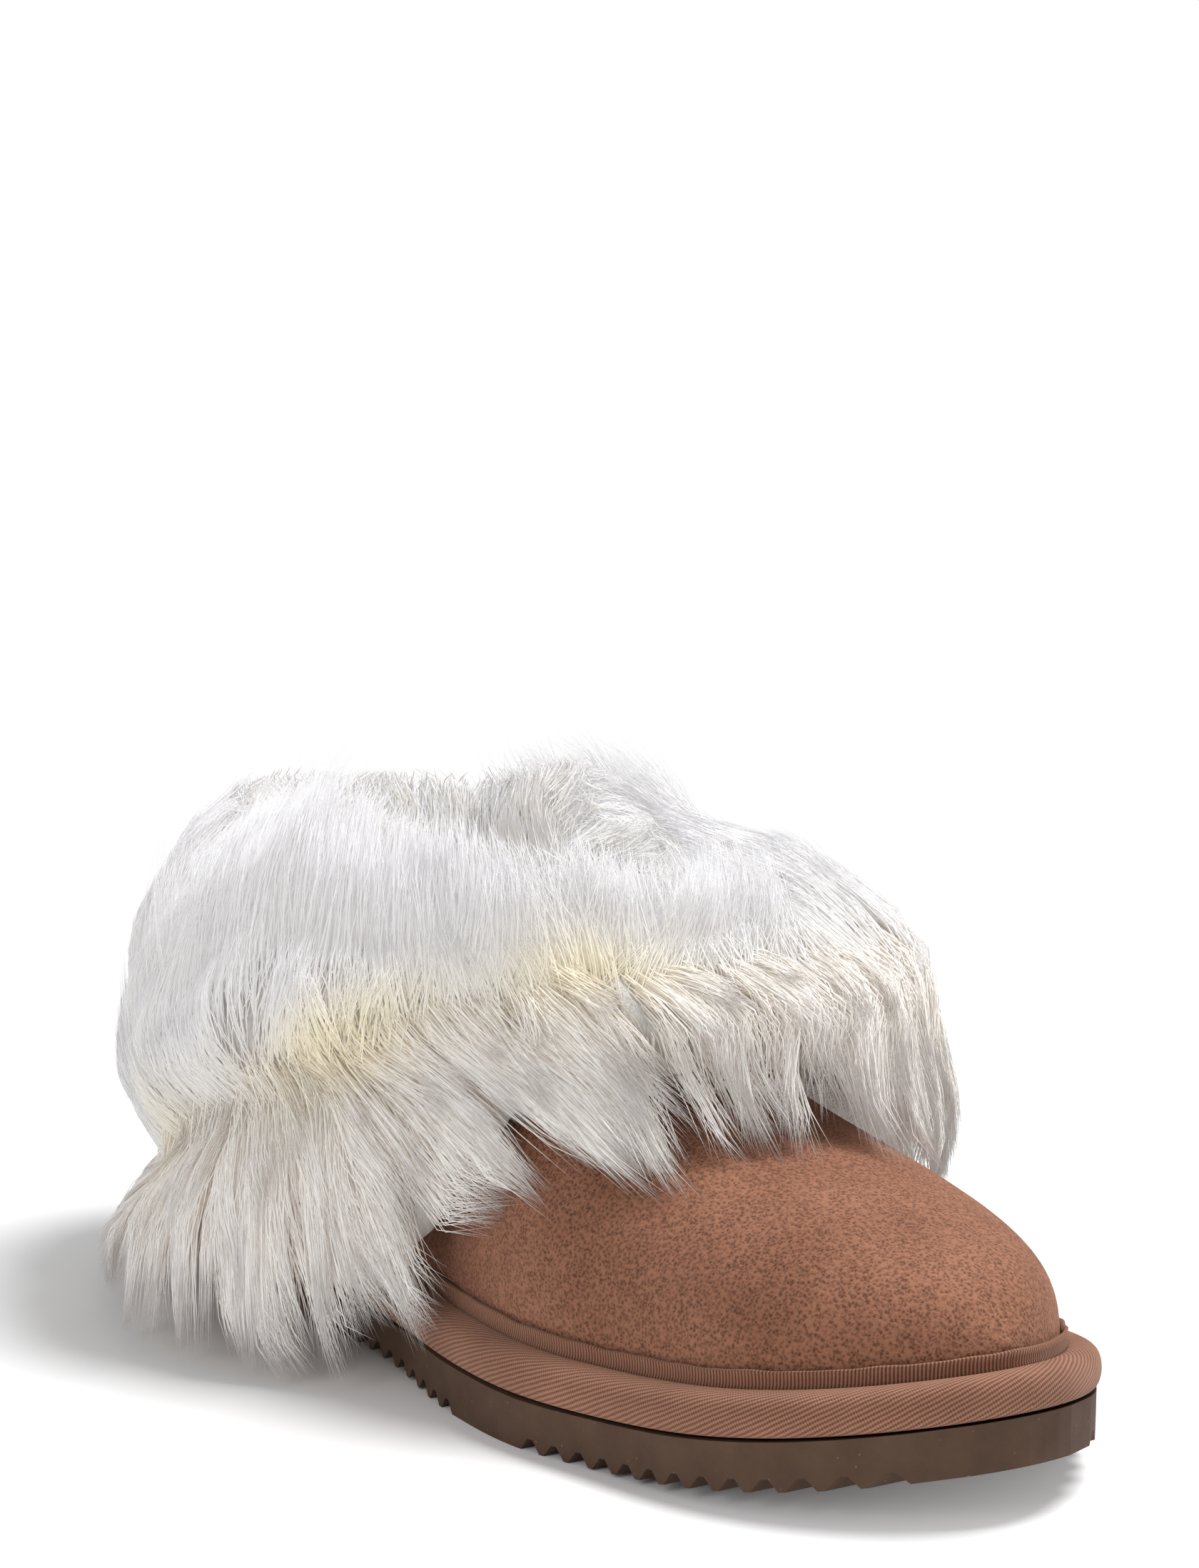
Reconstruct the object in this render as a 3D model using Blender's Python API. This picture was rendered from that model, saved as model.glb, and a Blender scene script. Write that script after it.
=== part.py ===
"""Right shaggy slipper: foam outsole, taped welt, insole, suede upper and a long-haired collar.

Metres, +Z up. The toe points to +X and the outer side of the foot faces -Y. The origin is on the floor,
in the middle of the heel's flat spot.
"""

import math

import bmesh
import bpy
import numpy as np

# Sole and welt
SOLE_LENGTH = 0.265
BALL_WIDTH = 0.105
HEEL_ROUND = 0.037
TOE_ROUND = 0.058
SOLE_SIDE = 0.010
TOE_SPRING = 0.0117
ARCH_RISE = 0.0015
TREAD_DEPTH = 0.0026
TREAD_PITCH = 0.0066
TREAD_LAND = 0.0012
TREAD_FLOOR = 0.0014
FLAT_SPOT = 0.018
HEEL_SPOT = 0.034
BALL_SPOT = 0.158
WELT_HEIGHT = 0.009
WELT_OVERHANG = 0.0012
LEDGE = 0.007

# Upper and insole
WALL = 0.0025
INSTEP_HEIGHT = 0.074
HEEL_HEIGHT = 0.050
SIDE_BULGE = 0.0022
BULGE_SPAN = 0.045
HEEL_LEAN = 0.004
HEEL_SHARE = 0.2
COLLAR_MARGIN = 0.1  # how far the collar's cutter reaches behind the heel, as a share of the upper
INSOLE_THICKNESS = 0.007
INSOLE_EDGE = 0.002

# Fur
FUR_REACH = 0.050
FUR_CREST = 0.060
FUR_LIP = 0.005
FUR_FLOOR = 0.004
FUR_PART = 0.008
FUR_RIDGE = 0.0022
FUR_HOLLOW = 0.015  # how far the fur's underside is hollowed between collar and hem
LOCK_WIDTH = 0.012
LOCK_THICKNESS = 0.008
LOCK_LENGTH = 0.050
LOCK_REST = 0.5  # how high a lock's middle lies over what carries it, in thicknesses
LOCK_SPREAD = 0.3  # how far a lock's free end moves out, as a share of its own length
LOCK_STAGGER = 0.37  # how far each row is turned against the last, in locks
LOCK_VARIETY = 0.12  # how much the locks' lengths differ
LOCK_BEAT = 2.4  # radians from one lock's length to the next

# Clearances
GAP = 0.0003
INSOLE_GAP = 0.0008
FUR_GAP = 0.0005

# How finely the round forms are cut
STATIONS = 28
AROUND = 18
COLLAR_STATIONS = 16
FUR_SECTIONS = 48
LOCK_SIDES = 5
SHARP_ANGLE = math.radians(40)

# How square the last's sections are: 1 is an ellipse, less is fuller at the shoulders
LAST_POWER = 0.8

# How much closer the last's points lie at the foot of a section than at its ridge
LAST_CROWDING = 0.55


def table(columns, *rows):
    """A short table as a dictionary of named columns."""
    return dict(zip(columns.split(), np.array(rows, float).T))


# Half widths to the outer (lateral) and inner (medial) side, as shares of the ball width, before the
# heel and the toe are rounded off. The first column is a share of the sole's length.
OUTLINE = table(
    "share lateral medial",
    (0.00, 0.355, 0.355),
    (0.20, 0.375, 0.365),
    (0.30, 0.380, 0.345),
    (0.42, 0.420, 0.335),
    (0.54, 0.490, 0.385),
    (0.64, 0.510, 0.455),
    (0.72, 0.475, 0.485),
    (0.80, 0.447, 0.473),
    (0.90, 0.415, 0.450),
    (1.00, 0.360, 0.400),
)

# Height of the last's ridge above the outsole, as a share of the instep height, along the upper.
RIDGE = table(
    "share height",
    (0.00, 1.24),
    (0.25, 1.24),
    (0.41, 1.13),
    (0.53, 0.98),
    (0.63, 0.81),
    (0.71, 0.715),
    (0.77, 0.655),
    (0.84, 0.575),
    (0.90, 0.49),
    (0.95, 0.40),
    (0.98, 0.31),
    (1.00, 0.19),
)

# Height of the collar's edge above the outsole: a share of the heel height plus one of the instep's.
COLLAR = table(
    "share heel instep",
    (0.00, 1.00, 0.00),
    (0.12, 0.90, 0.00),
    (0.20, 0.80, 0.06),
    (0.33, 0.45, 0.45),
    (0.45, 0.15, 0.82),
    (0.53, 0.00, 0.99),
    (0.62, 0.00, 1.20),
)

# Half section of the welt: shares of its width, from the upper outwards, and of its height.
WELT = table(
    "out up",
    (0.00, 0.00),
    (0.80, 0.00),
    (0.94, 0.12),
    (1.00, 0.36),
    (0.98, 0.62),
    (0.88, 0.84),
    (0.66, 0.97),
    (0.30, 1.04),
    (0.00, 1.02),
)

# The fur around the collar. The first column turns from the toe over the inner side to the heel, in
# degrees. Reach, crest and part are shares of their own sizes, and line, shoulder and hem are heights as
# shares of the rim's. The line is where the fur parts, flare is the hem's share of the reach, and full is
# 1 where the fur stands out roundly, 0 where it lies flat.
FUR = table(
    "turn reach crest line part shoulder hem flare full",
    (0, 1.24, 0.45, 0.94, 0.7, 0.80, 0.72, 0.99, 0.3),
    (15, 1.31, 0.43, 0.94, 0.5, 0.82, 0.60, 0.98, 0.6),
    (30, 1.44, 0.58, 0.94, 0.2, 0.84, 0.55, 0.95, 1.0),
    (50, 1.49, 0.73, 0.94, 0.0, 0.82, 0.42, 0.92, 1.0),
    (70, 1.33, 0.76, 0.90, 0.2, 0.74, 0.20, 0.92, 1.0),
    (90, 1.06, 0.97, 0.82, 0.5, 0.62, 0.08, 0.92, 0.9),
    (110, 0.91, 1.05, 0.72, 0.8, 0.50, 0.07, 0.92, 0.8),
    (145, 0.76, 0.91, 0.56, 1.0, 0.34, 0.07, 0.94, 0.8),
    (180, 0.70, 0.86, 0.50, 1.0, 0.28, 0.07, 0.96, 0.8),
    (215, 0.65, 0.94, 0.48, 1.0, 0.26, 0.07, 0.98, 0.7),
    (240, 0.80, 0.88, 0.56, 1.0, 0.34, 0.07, 1.00, 0.6),
    (265, 0.92, 0.97, 0.80, 1.0, 0.55, 0.07, 1.05, 0.4),
    (285, 0.90, 0.93, 0.92, 0.9, 0.66, 0.07, 1.03, 0.4),
    (300, 0.83, 0.78, 0.94, 0.8, 0.64, 0.09, 1.00, 0.4),
    (320, 0.70, 0.65, 0.94, 0.7, 0.64, 0.26, 0.98, 0.4),
    (340, 0.89, 0.55, 0.94, 0.7, 0.74, 0.56, 0.98, 0.3),
    (360, 1.24, 0.45, 0.94, 0.7, 0.80, 0.72, 0.99, 0.3),
)

# The fur's outer face from crest to hem. Reach and flare say how far out a point is, part how deep it lies
# in the part line, and the next five weigh the heights of crest, rim, part line, shoulder and hem. Full
# raises the point where the fur is full, as a share of the way from the rim to the crest.
FUR_FACE = table(
    "reach flare part crest rim line shoulder hem full",
    (0.15, 0.0, 0.0, 1.00, 0.00, 0.0, 0.0, 0.0, 0.00),
    (0.55, 0.0, 0.0, 0.55, 0.45, 0.0, 0.0, 0.0, 0.36),
    (0.92, 0.0, 0.0, 0.12, 0.88, 0.0, 0.0, 0.0, 0.38),
    (0.97, 0.0, 0.0, 0.15, 0.35, 0.5, 0.0, 0.0, 0.00),
    (0.98, 0.0, 1.0, 0.00, 0.00, 1.0, 0.0, 0.0, 0.00),
    (1.00, 0.0, 0.0, 0.00, 0.00, 0.0, 1.0, 0.0, 0.00),
    (1.00, 0.5, 0.0, 0.00, 0.00, 0.0, 0.4, 0.6, 0.00),
    (1.00, 1.0, 0.0, 0.00, 0.00, 0.0, 0.0, 1.0, 0.00),
)

# A lock along its length: its width as a share of the full one, and how far it lies off the fur's face.
LOCK_TAPER = table(
    "width lift",
    (0.45, -0.40),
    (0.90, 0.00),
    (1.00, 0.25),
    (0.66, 0.30),
    (0.08, 0.25),
)

# Rows of locks: how many go round, where they leave the fur and where they end, as shares of the way
# from its crest to its hem, and how far they sweep towards the toe, in degrees. The last row rises.
LOCK_ROWS = table(
    "count start end sweep",
    (26, 0.70, 1.18, 5.0),
    (24, 0.58, 0.98, 6.0),
    (18, 0.55, 0.03, 6.0),
)


def along(rows, column, share):
    """One column of a table at a share, on a smooth curve through its rows."""
    keys = rows[next(iter(rows))]
    values = rows[column]
    slopes = np.gradient(values, keys)
    index = int(np.clip(np.searchsorted(keys, share) - 1, 0, len(keys) - 2))
    step = keys[index + 1] - keys[index]
    part = np.clip((share - keys[index]) / step, 0, 1)
    ease = part * part * (3 - 2 * part)
    leave = part * (1 - part) ** 2 * step * slopes[index]
    arrive = part * part * (part - 1) * step * slopes[index + 1]
    return float(values[index] + ease * (values[index + 1] - values[index]) + leave + arrive)


def sole_x(share):
    return SOLE_LENGTH * share - HEEL_SPOT


def spring(x):
    """How far the sole has left the floor on its way from the ball to the toe."""
    start = BALL_SPOT + FLAT_SPOT
    rise = np.clip((x + HEEL_SPOT - start) / (SOLE_LENGTH - start), 0, None)
    return TOE_SPRING * rise**2


def arch(x):
    """How far the waist is hollowed between the two flat spots."""
    start = FLAT_SPOT
    end = BALL_SPOT - HEEL_SPOT - FLAT_SPOT
    part = np.clip((x - start) / (end - start), 0, 1)
    return ARCH_RISE * math.sin(math.pi * part) ** 2


def half_width(x, side):
    """Half width of the outsole at x, towards its outer or its inner side."""
    back = np.clip(x + HEEL_SPOT, 0, SOLE_LENGTH)
    share = back / SOLE_LENGTH
    heel = min(back / HEEL_ROUND, 1)
    toe = min((SOLE_LENGTH - back) / TOE_ROUND, 1)
    rounding = math.sqrt(1 - (1 - heel) ** 2) * math.sqrt(1 - (1 - toe) ** 2)
    return BALL_WIDTH * along(OUTLINE, side, share) * rounding


def outline():
    """The outsole's outline in plan, from the heel along the outer side to the toe and back."""
    shares = [(1 - math.cos(math.pi * i / STATIONS)) / 2 for i in range(STATIONS + 1)]
    outer = [(sole_x(s), -half_width(sole_x(s), "lateral")) for s in shares]
    inner = [(sole_x(s), half_width(sole_x(s), "medial")) for s in shares[-2:0:-1]]
    return np.array(outer + inner)


def normals_of(loop):
    """Outward unit normals of a closed loop in plan that runs anticlockwise."""
    along_loop = np.roll(loop, -1, axis=0) - np.roll(loop, 1, axis=0)
    along_loop /= np.linalg.norm(along_loop, axis=1)[:, None]
    return np.stack([along_loop[:, 1], -along_loop[:, 0]], axis=1)


def grown(loop, distance):
    return loop + normals_of(loop) * distance


def on_outsole(loop, height):
    """A plan loop lifted onto the outsole's top, height above it."""
    return [(x, y, SOLE_SIDE + spring(x) + height) for x, y in loop]


def finished(name, points, faces, material):
    """An object of one closed body, its doubles merged and its faces turned outwards."""
    mesh = bpy.data.meshes.new(name)
    mesh.from_pydata([tuple(p) for p in points], [], faces)
    shape = bmesh.new()
    shape.from_mesh(mesh)
    bmesh.ops.remove_doubles(shape, verts=shape.verts, dist=1e-6)
    bmesh.ops.recalc_face_normals(shape, faces=shape.faces)
    shape.to_mesh(mesh)
    shape.free()
    item = bpy.data.objects.new(name, mesh)
    bpy.context.collection.objects.link(item)
    if material:
        mesh.materials.append(material)
        mesh.shade_smooth()
        mesh.set_sharp_from_angle(angle=SHARP_ANGLE)
    return item


def hidden(item):
    """Mark a cutter, which isn't part of the slipper."""
    item.hide_render = True
    item.display_type = "WIRE"
    return item


def finish(name, color, roughness):
    material = bpy.data.materials.new(name)
    material.use_nodes = True
    shader = material.node_tree.nodes["Principled BSDF"]
    shader.inputs["Base Color"].default_value = (*color, 1)
    shader.inputs["Roughness"].default_value = roughness
    shader.inputs["Metallic"].default_value = 0
    return material


def ring_faces(rows, columns, close_rows):
    """Quads between rings of equal count; close_rows joins the last ring to the first."""
    faces = []
    for row in range(rows if close_rows else rows - 1):
        here = row * columns
        there = (row + 1) % rows * columns
        for column in range(columns):
            ahead = (column + 1) % columns
            faces.append((here + column, here + ahead, there + ahead, there + column))
    return faces


def across_faces(count, start):
    """Faces across a plan loop of count points, from its outer to its inner side."""
    faces = []
    for index in range(count // 2):
        corners = (index, index + 1, -(index + 1) % count, -index % count)
        faces.append(tuple(start + corner for corner in dict.fromkeys(corners)))
    return faces


def cut(item, cutter):
    modifier = item.modifiers.new(cutter.name, "BOOLEAN")
    modifier.object = cutter


def tread_stations():
    """Stations along the sole as (x, depth): the ends, and four for each groove off the flat spots."""
    ends = [0, 0.0003, 0.0012, 0.0028]
    stations = [(e - HEEL_SPOT, 0) for e in ends]
    mouth = TREAD_PITCH - TREAD_LAND
    start = 2 * ends[-1]
    count = int((SOLE_LENGTH - 2 * start) / TREAD_PITCH)
    for i in range(count):
        middle = start - HEEL_SPOT + (i + 0.5) * TREAD_PITCH
        on_heel = abs(middle) < FLAT_SPOT / 2 + mouth / 2
        on_ball = abs(middle - (BALL_SPOT - HEEL_SPOT)) < FLAT_SPOT / 2 + mouth / 2
        depth = 0 if on_heel or on_ball else TREAD_DEPTH
        stations.append((middle - mouth / 2, 0))
        stations.append((middle - TREAD_FLOOR / 2, depth))
        stations.append((middle + TREAD_FLOOR / 2, depth))
        stations.append((middle + mouth / 2, 0))
    stations += [(SOLE_LENGTH - e - HEEL_SPOT, 0) for e in reversed(ends)]
    return stations


def make_outsole():
    """One foam unit: flat under heel and ball, grooved across, turned up at the toe."""
    points = []
    stations = tread_stations()
    for x, depth in stations:
        outer = -half_width(x, "lateral")
        inner = half_width(x, "medial")
        low = spring(x) + arch(x) + depth
        high = spring(x) + SOLE_SIDE
        points += [(x, outer, low), (x, inner, low), (x, inner, high), (x, outer, high)]
    faces = ring_faces(len(stations), 4, False)
    return finished("outsole", points, faces, finish("eva foam", (0.17, 0.10, 0.065), 0.75))


def upper_base():
    """The upper's outer edge where it stands on the outsole, in plan."""
    return grown(outline(), -LEDGE)


def make_welt():
    """The taped rim: a rounded section swept round the foot of the upper."""
    inside = grown(upper_base(), GAP)
    outside = grown(outline(), WELT_OVERHANG)
    points = []
    for out, up in zip(WELT["out"], WELT["up"]):
        points += on_outsole(inside + (outside - inside) * out, GAP + WELT_HEIGHT * up)
    faces = ring_faces(len(WELT["out"]), len(inside), True)
    return finished("welt_tape", points, faces, finish("twill tape", (0.42, 0.21, 0.13), 0.9))


def make_insole():
    """The footbed on the outsole, just inside the upper, with a softened top edge."""
    edge = grown(upper_base(), -WALL - INSOLE_GAP)
    rings = [
        on_outsole(edge, GAP),
        on_outsole(edge, GAP + INSOLE_THICKNESS - INSOLE_EDGE),
        on_outsole(grown(edge, -INSOLE_EDGE), GAP + INSOLE_THICKNESS),
    ]
    count = len(edge)
    faces = ring_faces(len(rings), count, False)
    faces += across_faces(count, 0)
    faces += across_faces(count, 2 * count)
    points = rings[0] + rings[1] + rings[2]
    return finished("insole", points, faces, finish("footbed pile", (0.75, 0.70, 0.60), 0.95))


BULGE_START = WELT_HEIGHT * WELT["up"].max() + GAP


def section(index, turn, base, out):
    """A point of the last on one section; turn runs from 0 at the outer side to pi at the inner."""
    partner = -index % len(base)
    lateral, medial = base[index], base[partner]
    middle = (lateral + medial) / 2
    lean = math.cos(turn)
    side = abs(lean) ** LAST_POWER
    foot, normal = (lateral, out[index]) if lean > 0 else (medial, out[partner])
    share = (middle[0] - base[0][0]) / (base[STATIONS][0] - base[0][0])
    height = INSTEP_HEIGHT * along(RIDGE, "height", share) * abs(math.sin(turn)) ** LAST_POWER
    plan = middle + (foot - middle) * side
    swell = math.sin(math.pi * np.clip((height - BULGE_START) / BULGE_SPAN, 0, 1))
    plan = plan + normal * SIDE_BULGE * swell * side
    heel = max(1 - share / HEEL_SHARE, 0)
    plan[0] += HEEL_LEAN * heel * (height / HEEL_HEIGHT) ** 2
    return np.array([plan[0], plan[1], SOLE_SIDE + GAP + spring(plan[0]) + height])


def last_points():
    """Sections of the last from heel to toe, each from its outer foot over the ridge to its inner."""
    base = upper_base()
    out = normals_of(base)
    points = []
    for index in range(STATIONS + 1):
        for step in range(AROUND + 1):
            share = step / AROUND
            turn = math.pi * share - LAST_CROWDING / 2 * math.sin(2 * math.pi * share)
            points.append(section(index, turn, base, out))
    return points


def last_faces():
    width = AROUND + 1
    faces = []
    for index in range(STATIONS):
        for step in range(AROUND):
            corner = index * width + step
            faces.append((corner, corner + 1, corner + width + 1))
            faces.append((corner, corner + width + 1, corner + width))
    return faces


def collar_height(share):
    heel = HEEL_HEIGHT * along(COLLAR, "heel", share)
    return heel + INSTEP_HEIGHT * along(COLLAR, "instep", share)


def collar_cutter():
    """A slab across the shoe, whose underside is the collar's line in side view."""
    base = upper_base()
    back, front = base[0][0], base[STATIONS][0]
    shares = np.linspace(-COLLAR_MARGIN, COLLAR["share"][-1], COLLAR_STATIONS)
    line = []
    for share in shares:
        x = back + (front - back) * share
        line.append((x, SOLE_SIDE + collar_height(max(share, 0))))
    top = SOLE_SIDE + 2 * INSTEP_HEIGHT
    profile = line + [(line[-1][0], top), (line[0][0], top)]
    count = len(profile)
    points = [(x, -BALL_WIDTH, z) for x, z in profile] + [(x, BALL_WIDTH, z) for x, z in profile]
    faces = ring_faces(2, count, False)
    faces += [tuple(range(count)), tuple(range(count, 2 * count))]
    return hidden(finished("collar_cutter", points, faces, None))


def make_upper():
    """Suede shell on the last: vamp, sides and heel in one wall, open at the collar and below."""
    suede = finish("suede", (0.45, 0.20, 0.10), 0.95)
    item = finished("upper", last_points(), last_faces(), suede)
    wall = item.modifiers.new("wall", "SOLIDIFY")
    wall.thickness = WALL
    wall.offset = -1
    wall.use_even_offset = True
    cut(item, collar_cutter())
    return item


def collar_rim():
    """The collar's edge in polar form: its middle, and turn, radius and height all the way round."""
    base = upper_base()
    out = normals_of(base)
    back, front = base[0][0], base[STATIONS][0]
    points = []
    for index in range(STATIONS + 1):
        share = ((base[index] + base[-index % len(base)])[0] / 2 - back) / (front - back)
        part = collar_height(share) / (INSTEP_HEIGHT * along(RIDGE, "height", share))
        if part < 1:
            turn = math.asin(part ** (1 / LAST_POWER))
            points += [section(index, turn, base, out), section(index, math.pi - turn, base, out)]
    points = np.array(points)
    middle = (points[:, 0].min() + points[:, 0].max()) / 2
    turns = np.degrees(np.arctan2(points[:, 1], points[:, 0] - middle)) % 360
    order = np.argsort(turns)
    radii = np.hypot(points[:, 1], points[:, 0] - middle)
    return {"middle": middle, "turn": turns[order], "radius": radii[order], "height": points[order, 2]}


def at_turn(rim, column, turn):
    return float(np.interp(turn % 360, rim["turn"], rim[column], period=360))


def fur_profile(rim, turn):
    """The fur's outer face at one turn, from crest to tip, as (distance from the middle, height)."""
    turn %= 360
    edge = at_turn(rim, "radius", turn)
    height = at_turn(rim, "height", turn)
    reach = FUR_REACH * along(FUR, "reach", turn)
    flare = along(FUR, "flare", turn)
    part = FUR_PART * along(FUR, "part", turn)
    full = FUR_CREST * along(FUR, "crest", turn) * along(FUR, "full", turn)
    heights = np.array([
        height + FUR_CREST * along(FUR, "crest", turn),
        height,
        height * along(FUR, "line", turn),
        height * along(FUR, "shoulder", turn),
        max(height * along(FUR, "hem", turn), FUR_FLOOR),
    ])
    weights = np.array([FUR_FACE[name] for name in ("crest", "rim", "line", "shoulder", "hem")])
    away = edge + reach * FUR_FACE["reach"] * (1 + FUR_FACE["flare"] * (flare - 1))
    away = away - part * FUR_FACE["part"]
    return list(zip(away, heights @ weights + full * FUR_FACE["full"]))


def polar(rim, turn, away):
    across = math.radians(turn)
    return rim["middle"] + away * math.cos(across), away * math.sin(across)


def fur_ring(rim):
    """The collar's fur as one ring, its outer face ridged and its hem notched between locks."""
    points = []
    for index in range(FUR_SECTIONS):
        turn = 360 * index / FUR_SECTIONS
        edge = at_turn(rim, "radius", turn)
        height = at_turn(rim, "height", turn)
        ridge = FUR_RIDGE * (1 if index % 2 else -1)
        outer = fur_profile(rim, turn)
        profile = [(edge - FUR_LIP, height - FUR_LIP), (edge - FUR_LIP, outer[0][1] - FUR_LIP)]
        last = len(outer) - 1
        profile += [(away + ridge * i / last, z) for i, (away, z) in enumerate(outer)]
        away, hem = outer[-1]
        profile[-1] = (away, max(hem - 2 * ridge, FUR_FLOOR))
        profile.append(((edge + away) / 2, hem + FUR_HOLLOW))
        points += [(*polar(rim, turn, away), z) for away, z in profile]
    faces = ring_faces(FUR_SECTIONS, len(profile), True)
    fur = finish("long fur", (0.82, 0.80, 0.76), 0.9)
    return finished("fur_collar", points, faces, fur)


def surface_under(x, y, base):
    """Height of what lies under a point in plan: the last, the welt around it or the floor."""
    outer = np.interp(x, base[: STATIONS + 1, 0], base[: STATIONS + 1, 1])
    inner = np.interp(x, base[:STATIONS:-1, 0], base[:STATIONS:-1, 1])
    middle, half = (inner + outer) / 2, (inner - outer) / 2
    back, front = base[0][0], base[STATIONS][0]
    floor = SOLE_SIDE + GAP + spring(x)
    away = abs(y - middle) / max(half, GAP)
    if back < x < front and away < 1:
        rise = math.sqrt(1 - away ** (2 / LAST_POWER)) ** LAST_POWER
        share = (x - back) / (front - back)
        return floor + max(INSTEP_HEIGHT * along(RIDGE, "height", share) * rise, WELT_HEIGHT)
    margin = 2 * WELT_OVERHANG
    near_side = half_width(x, "medial" if y > 0 else "lateral") + margin
    beside = sole_x(0) - margin < x < sole_x(1) + margin
    return floor + WELT_HEIGHT if beside and abs(y) < near_side else 0


def lock(rim, base, turn, start, end, sweep):
    """Rings of one lock: a flat tapered strand that leaves the fur, follows its face and ends free."""
    rings = []
    drift = -sweep * math.sin(math.radians(turn))
    shares = np.linspace(0, 1, len(LOCK_TAPER["width"]))
    centres = []
    for share, lift in zip(shares, LOCK_TAPER["lift"]):
        here = turn + drift * share
        profile = np.array(fur_profile(rim, here))
        way = start + (end - start) * share
        places = np.linspace(0, 1, len(profile))
        away, z = (np.interp(way, places, profile[:, i]) for i in (0, 1))
        beyond = max(way - 1, 0) * LOCK_LENGTH
        away += LOCK_THICKNESS * lift + LOCK_SPREAD * beyond
        z = max(z - beyond, FUR_FLOOR)
        x, y = polar(rim, here, away)
        lying = surface_under(x, y, base) + LOCK_THICKNESS * LOCK_REST
        if lying > z:
            x, y = polar(rim, here, away + min(lying - z, beyond))
            z = surface_under(x, y, base) + LOCK_THICKNESS * LOCK_REST
        centres.append(np.array([x, y, z]))
    for index, centre in enumerate(centres):
        forward = centres[min(index + 1, len(centres) - 1)] - centres[max(index - 1, 0)]
        forward /= np.linalg.norm(forward)
        across = math.radians(turn + drift * shares[index])
        side = np.array([-math.sin(across), math.cos(across), 0])
        side -= forward * side.dot(forward)
        side /= np.linalg.norm(side)
        up = np.cross(forward, side)
        width = LOCK_WIDTH * LOCK_TAPER["width"][index]
        thick = LOCK_THICKNESS * LOCK_TAPER["width"][index]
        ring = []
        for step in range(LOCK_SIDES):
            angle = 2 * math.pi * step / LOCK_SIDES
            offset = side * math.cos(angle) * width / 2 + up * math.sin(angle) * thick / 2
            ring.append(centre + offset)
        rings.append(ring)
    return rings


def fur_locks(rim):
    """All locks, each a closed strand of its own, in rows that are staggered round the collar."""
    base = upper_base()
    group = bpy.data.collections.new("fur_locks")
    for row in range(len(LOCK_ROWS["count"])):
        count = int(LOCK_ROWS["count"][row])
        start, end, sweep = (LOCK_ROWS[name][row] for name in ("start", "end", "sweep"))
        for index in range(count):
            turn = 360 * (index + LOCK_STAGGER * row) / count
            longer = 1 + LOCK_VARIETY * math.sin(LOCK_BEAT * index + row)
            rings = lock(rim, base, turn, start, start + (end - start) * longer, sweep)
            points = [point for ring in rings for point in ring]
            faces = ring_faces(len(rings), LOCK_SIDES, False)
            faces.append(tuple(range(LOCK_SIDES)))
            faces.append(tuple(range(len(points) - LOCK_SIDES, len(points))))
            group.objects.link(hidden(finished(f"lock_{row}_{index}", points, faces, None)))
    return group


def shoe_room():
    """The last grown by the fur's clearance and closed below, which the fur keeps out of."""
    item = finished("shoe_room", last_points(), last_faces(), None)
    shape = bmesh.new()
    shape.from_mesh(item.data)
    shape.normal_update()
    moved = [(corner, corner.co + corner.normal * FUR_GAP) for corner in shape.verts]
    for corner, place in moved:
        corner.co = place
    bmesh.ops.holes_fill(shape, edges=shape.edges, sides=0)
    bmesh.ops.recalc_face_normals(shape, faces=shape.faces)
    shape.to_mesh(item.data)
    shape.free()
    return hidden(item)


def welt_room():
    """The sole and welt as one slab, grown by the fur's clearance."""
    loop = grown(outline(), WELT_OVERHANG + FUR_GAP)
    count = len(loop)
    low = [(x, y, -SOLE_SIDE) for x, y in loop]
    high = on_outsole(loop, GAP + WELT_HEIGHT * WELT["up"].max() + FUR_GAP)
    faces = ring_faces(2, count, False)
    faces += across_faces(count, 0) + across_faces(count, count)
    return hidden(finished("welt_room", low + high, faces, None))


def island_of(corner):
    """All corners that edges join to one corner."""
    found = {corner}
    waiting = [corner]
    while waiting:
        for edge in waiting.pop().link_edges:
            for other in edge.verts:
                if other not in found:
                    found.add(other)
                    waiting.append(other)
    return found


def as_one_body(item):
    """Apply the modifiers and keep the main body, without shavings and pinholes between locks."""
    seen = item.evaluated_get(bpy.context.evaluated_depsgraph_get())
    shape = bmesh.new()
    shape.from_mesh(seen.data)
    item.modifiers.clear()
    left = set(shape.verts)
    islands = []
    while left:
        island = island_of(next(iter(left)))
        left -= island
        islands.append(island)
    main = max(islands, key=len)
    loose = [corner for corner in shape.verts if corner not in main]
    bmesh.ops.delete(shape, geom=loose, context="VERTS")
    shape.to_mesh(item.data)
    shape.free()
    return item


def make_fur():
    """The long-haired collar: a ring with its locks fused on, cut back from upper and welt.

    The locks cross each other at shallow angles, where the exact solver leaves open edges.
    """
    rim = collar_rim()
    item = fur_ring(rim)
    locks = fur_locks(rim)
    fused = item.modifiers.new("locks", "BOOLEAN")
    fused.operation = "UNION"
    fused.operand_type = "COLLECTION"
    fused.collection = locks
    rooms = [shoe_room(), welt_room()]
    for room in rooms:
        cut(item, room)
    for modifier in item.modifiers:
        modifier.solver = "MANIFOLD"
    as_one_body(item)
    for helper in [*locks.objects, *rooms]:
        bpy.data.objects.remove(helper)
    bpy.data.collections.remove(locks)
    return item


def make_parts():
    for item in list(bpy.data.objects):
        bpy.data.objects.remove(item)
    make_outsole()
    make_welt()
    make_insole()
    make_upper()
    make_fur()


make_parts()
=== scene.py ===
# %% [markdown]
# # A shaggy slipper
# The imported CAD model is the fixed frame: a right slipper with its toe towards +X, its outer side
# towards -Y and the floor at z = 0. Everything made here is in metres and sits on those solids.

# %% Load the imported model
import math

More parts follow.
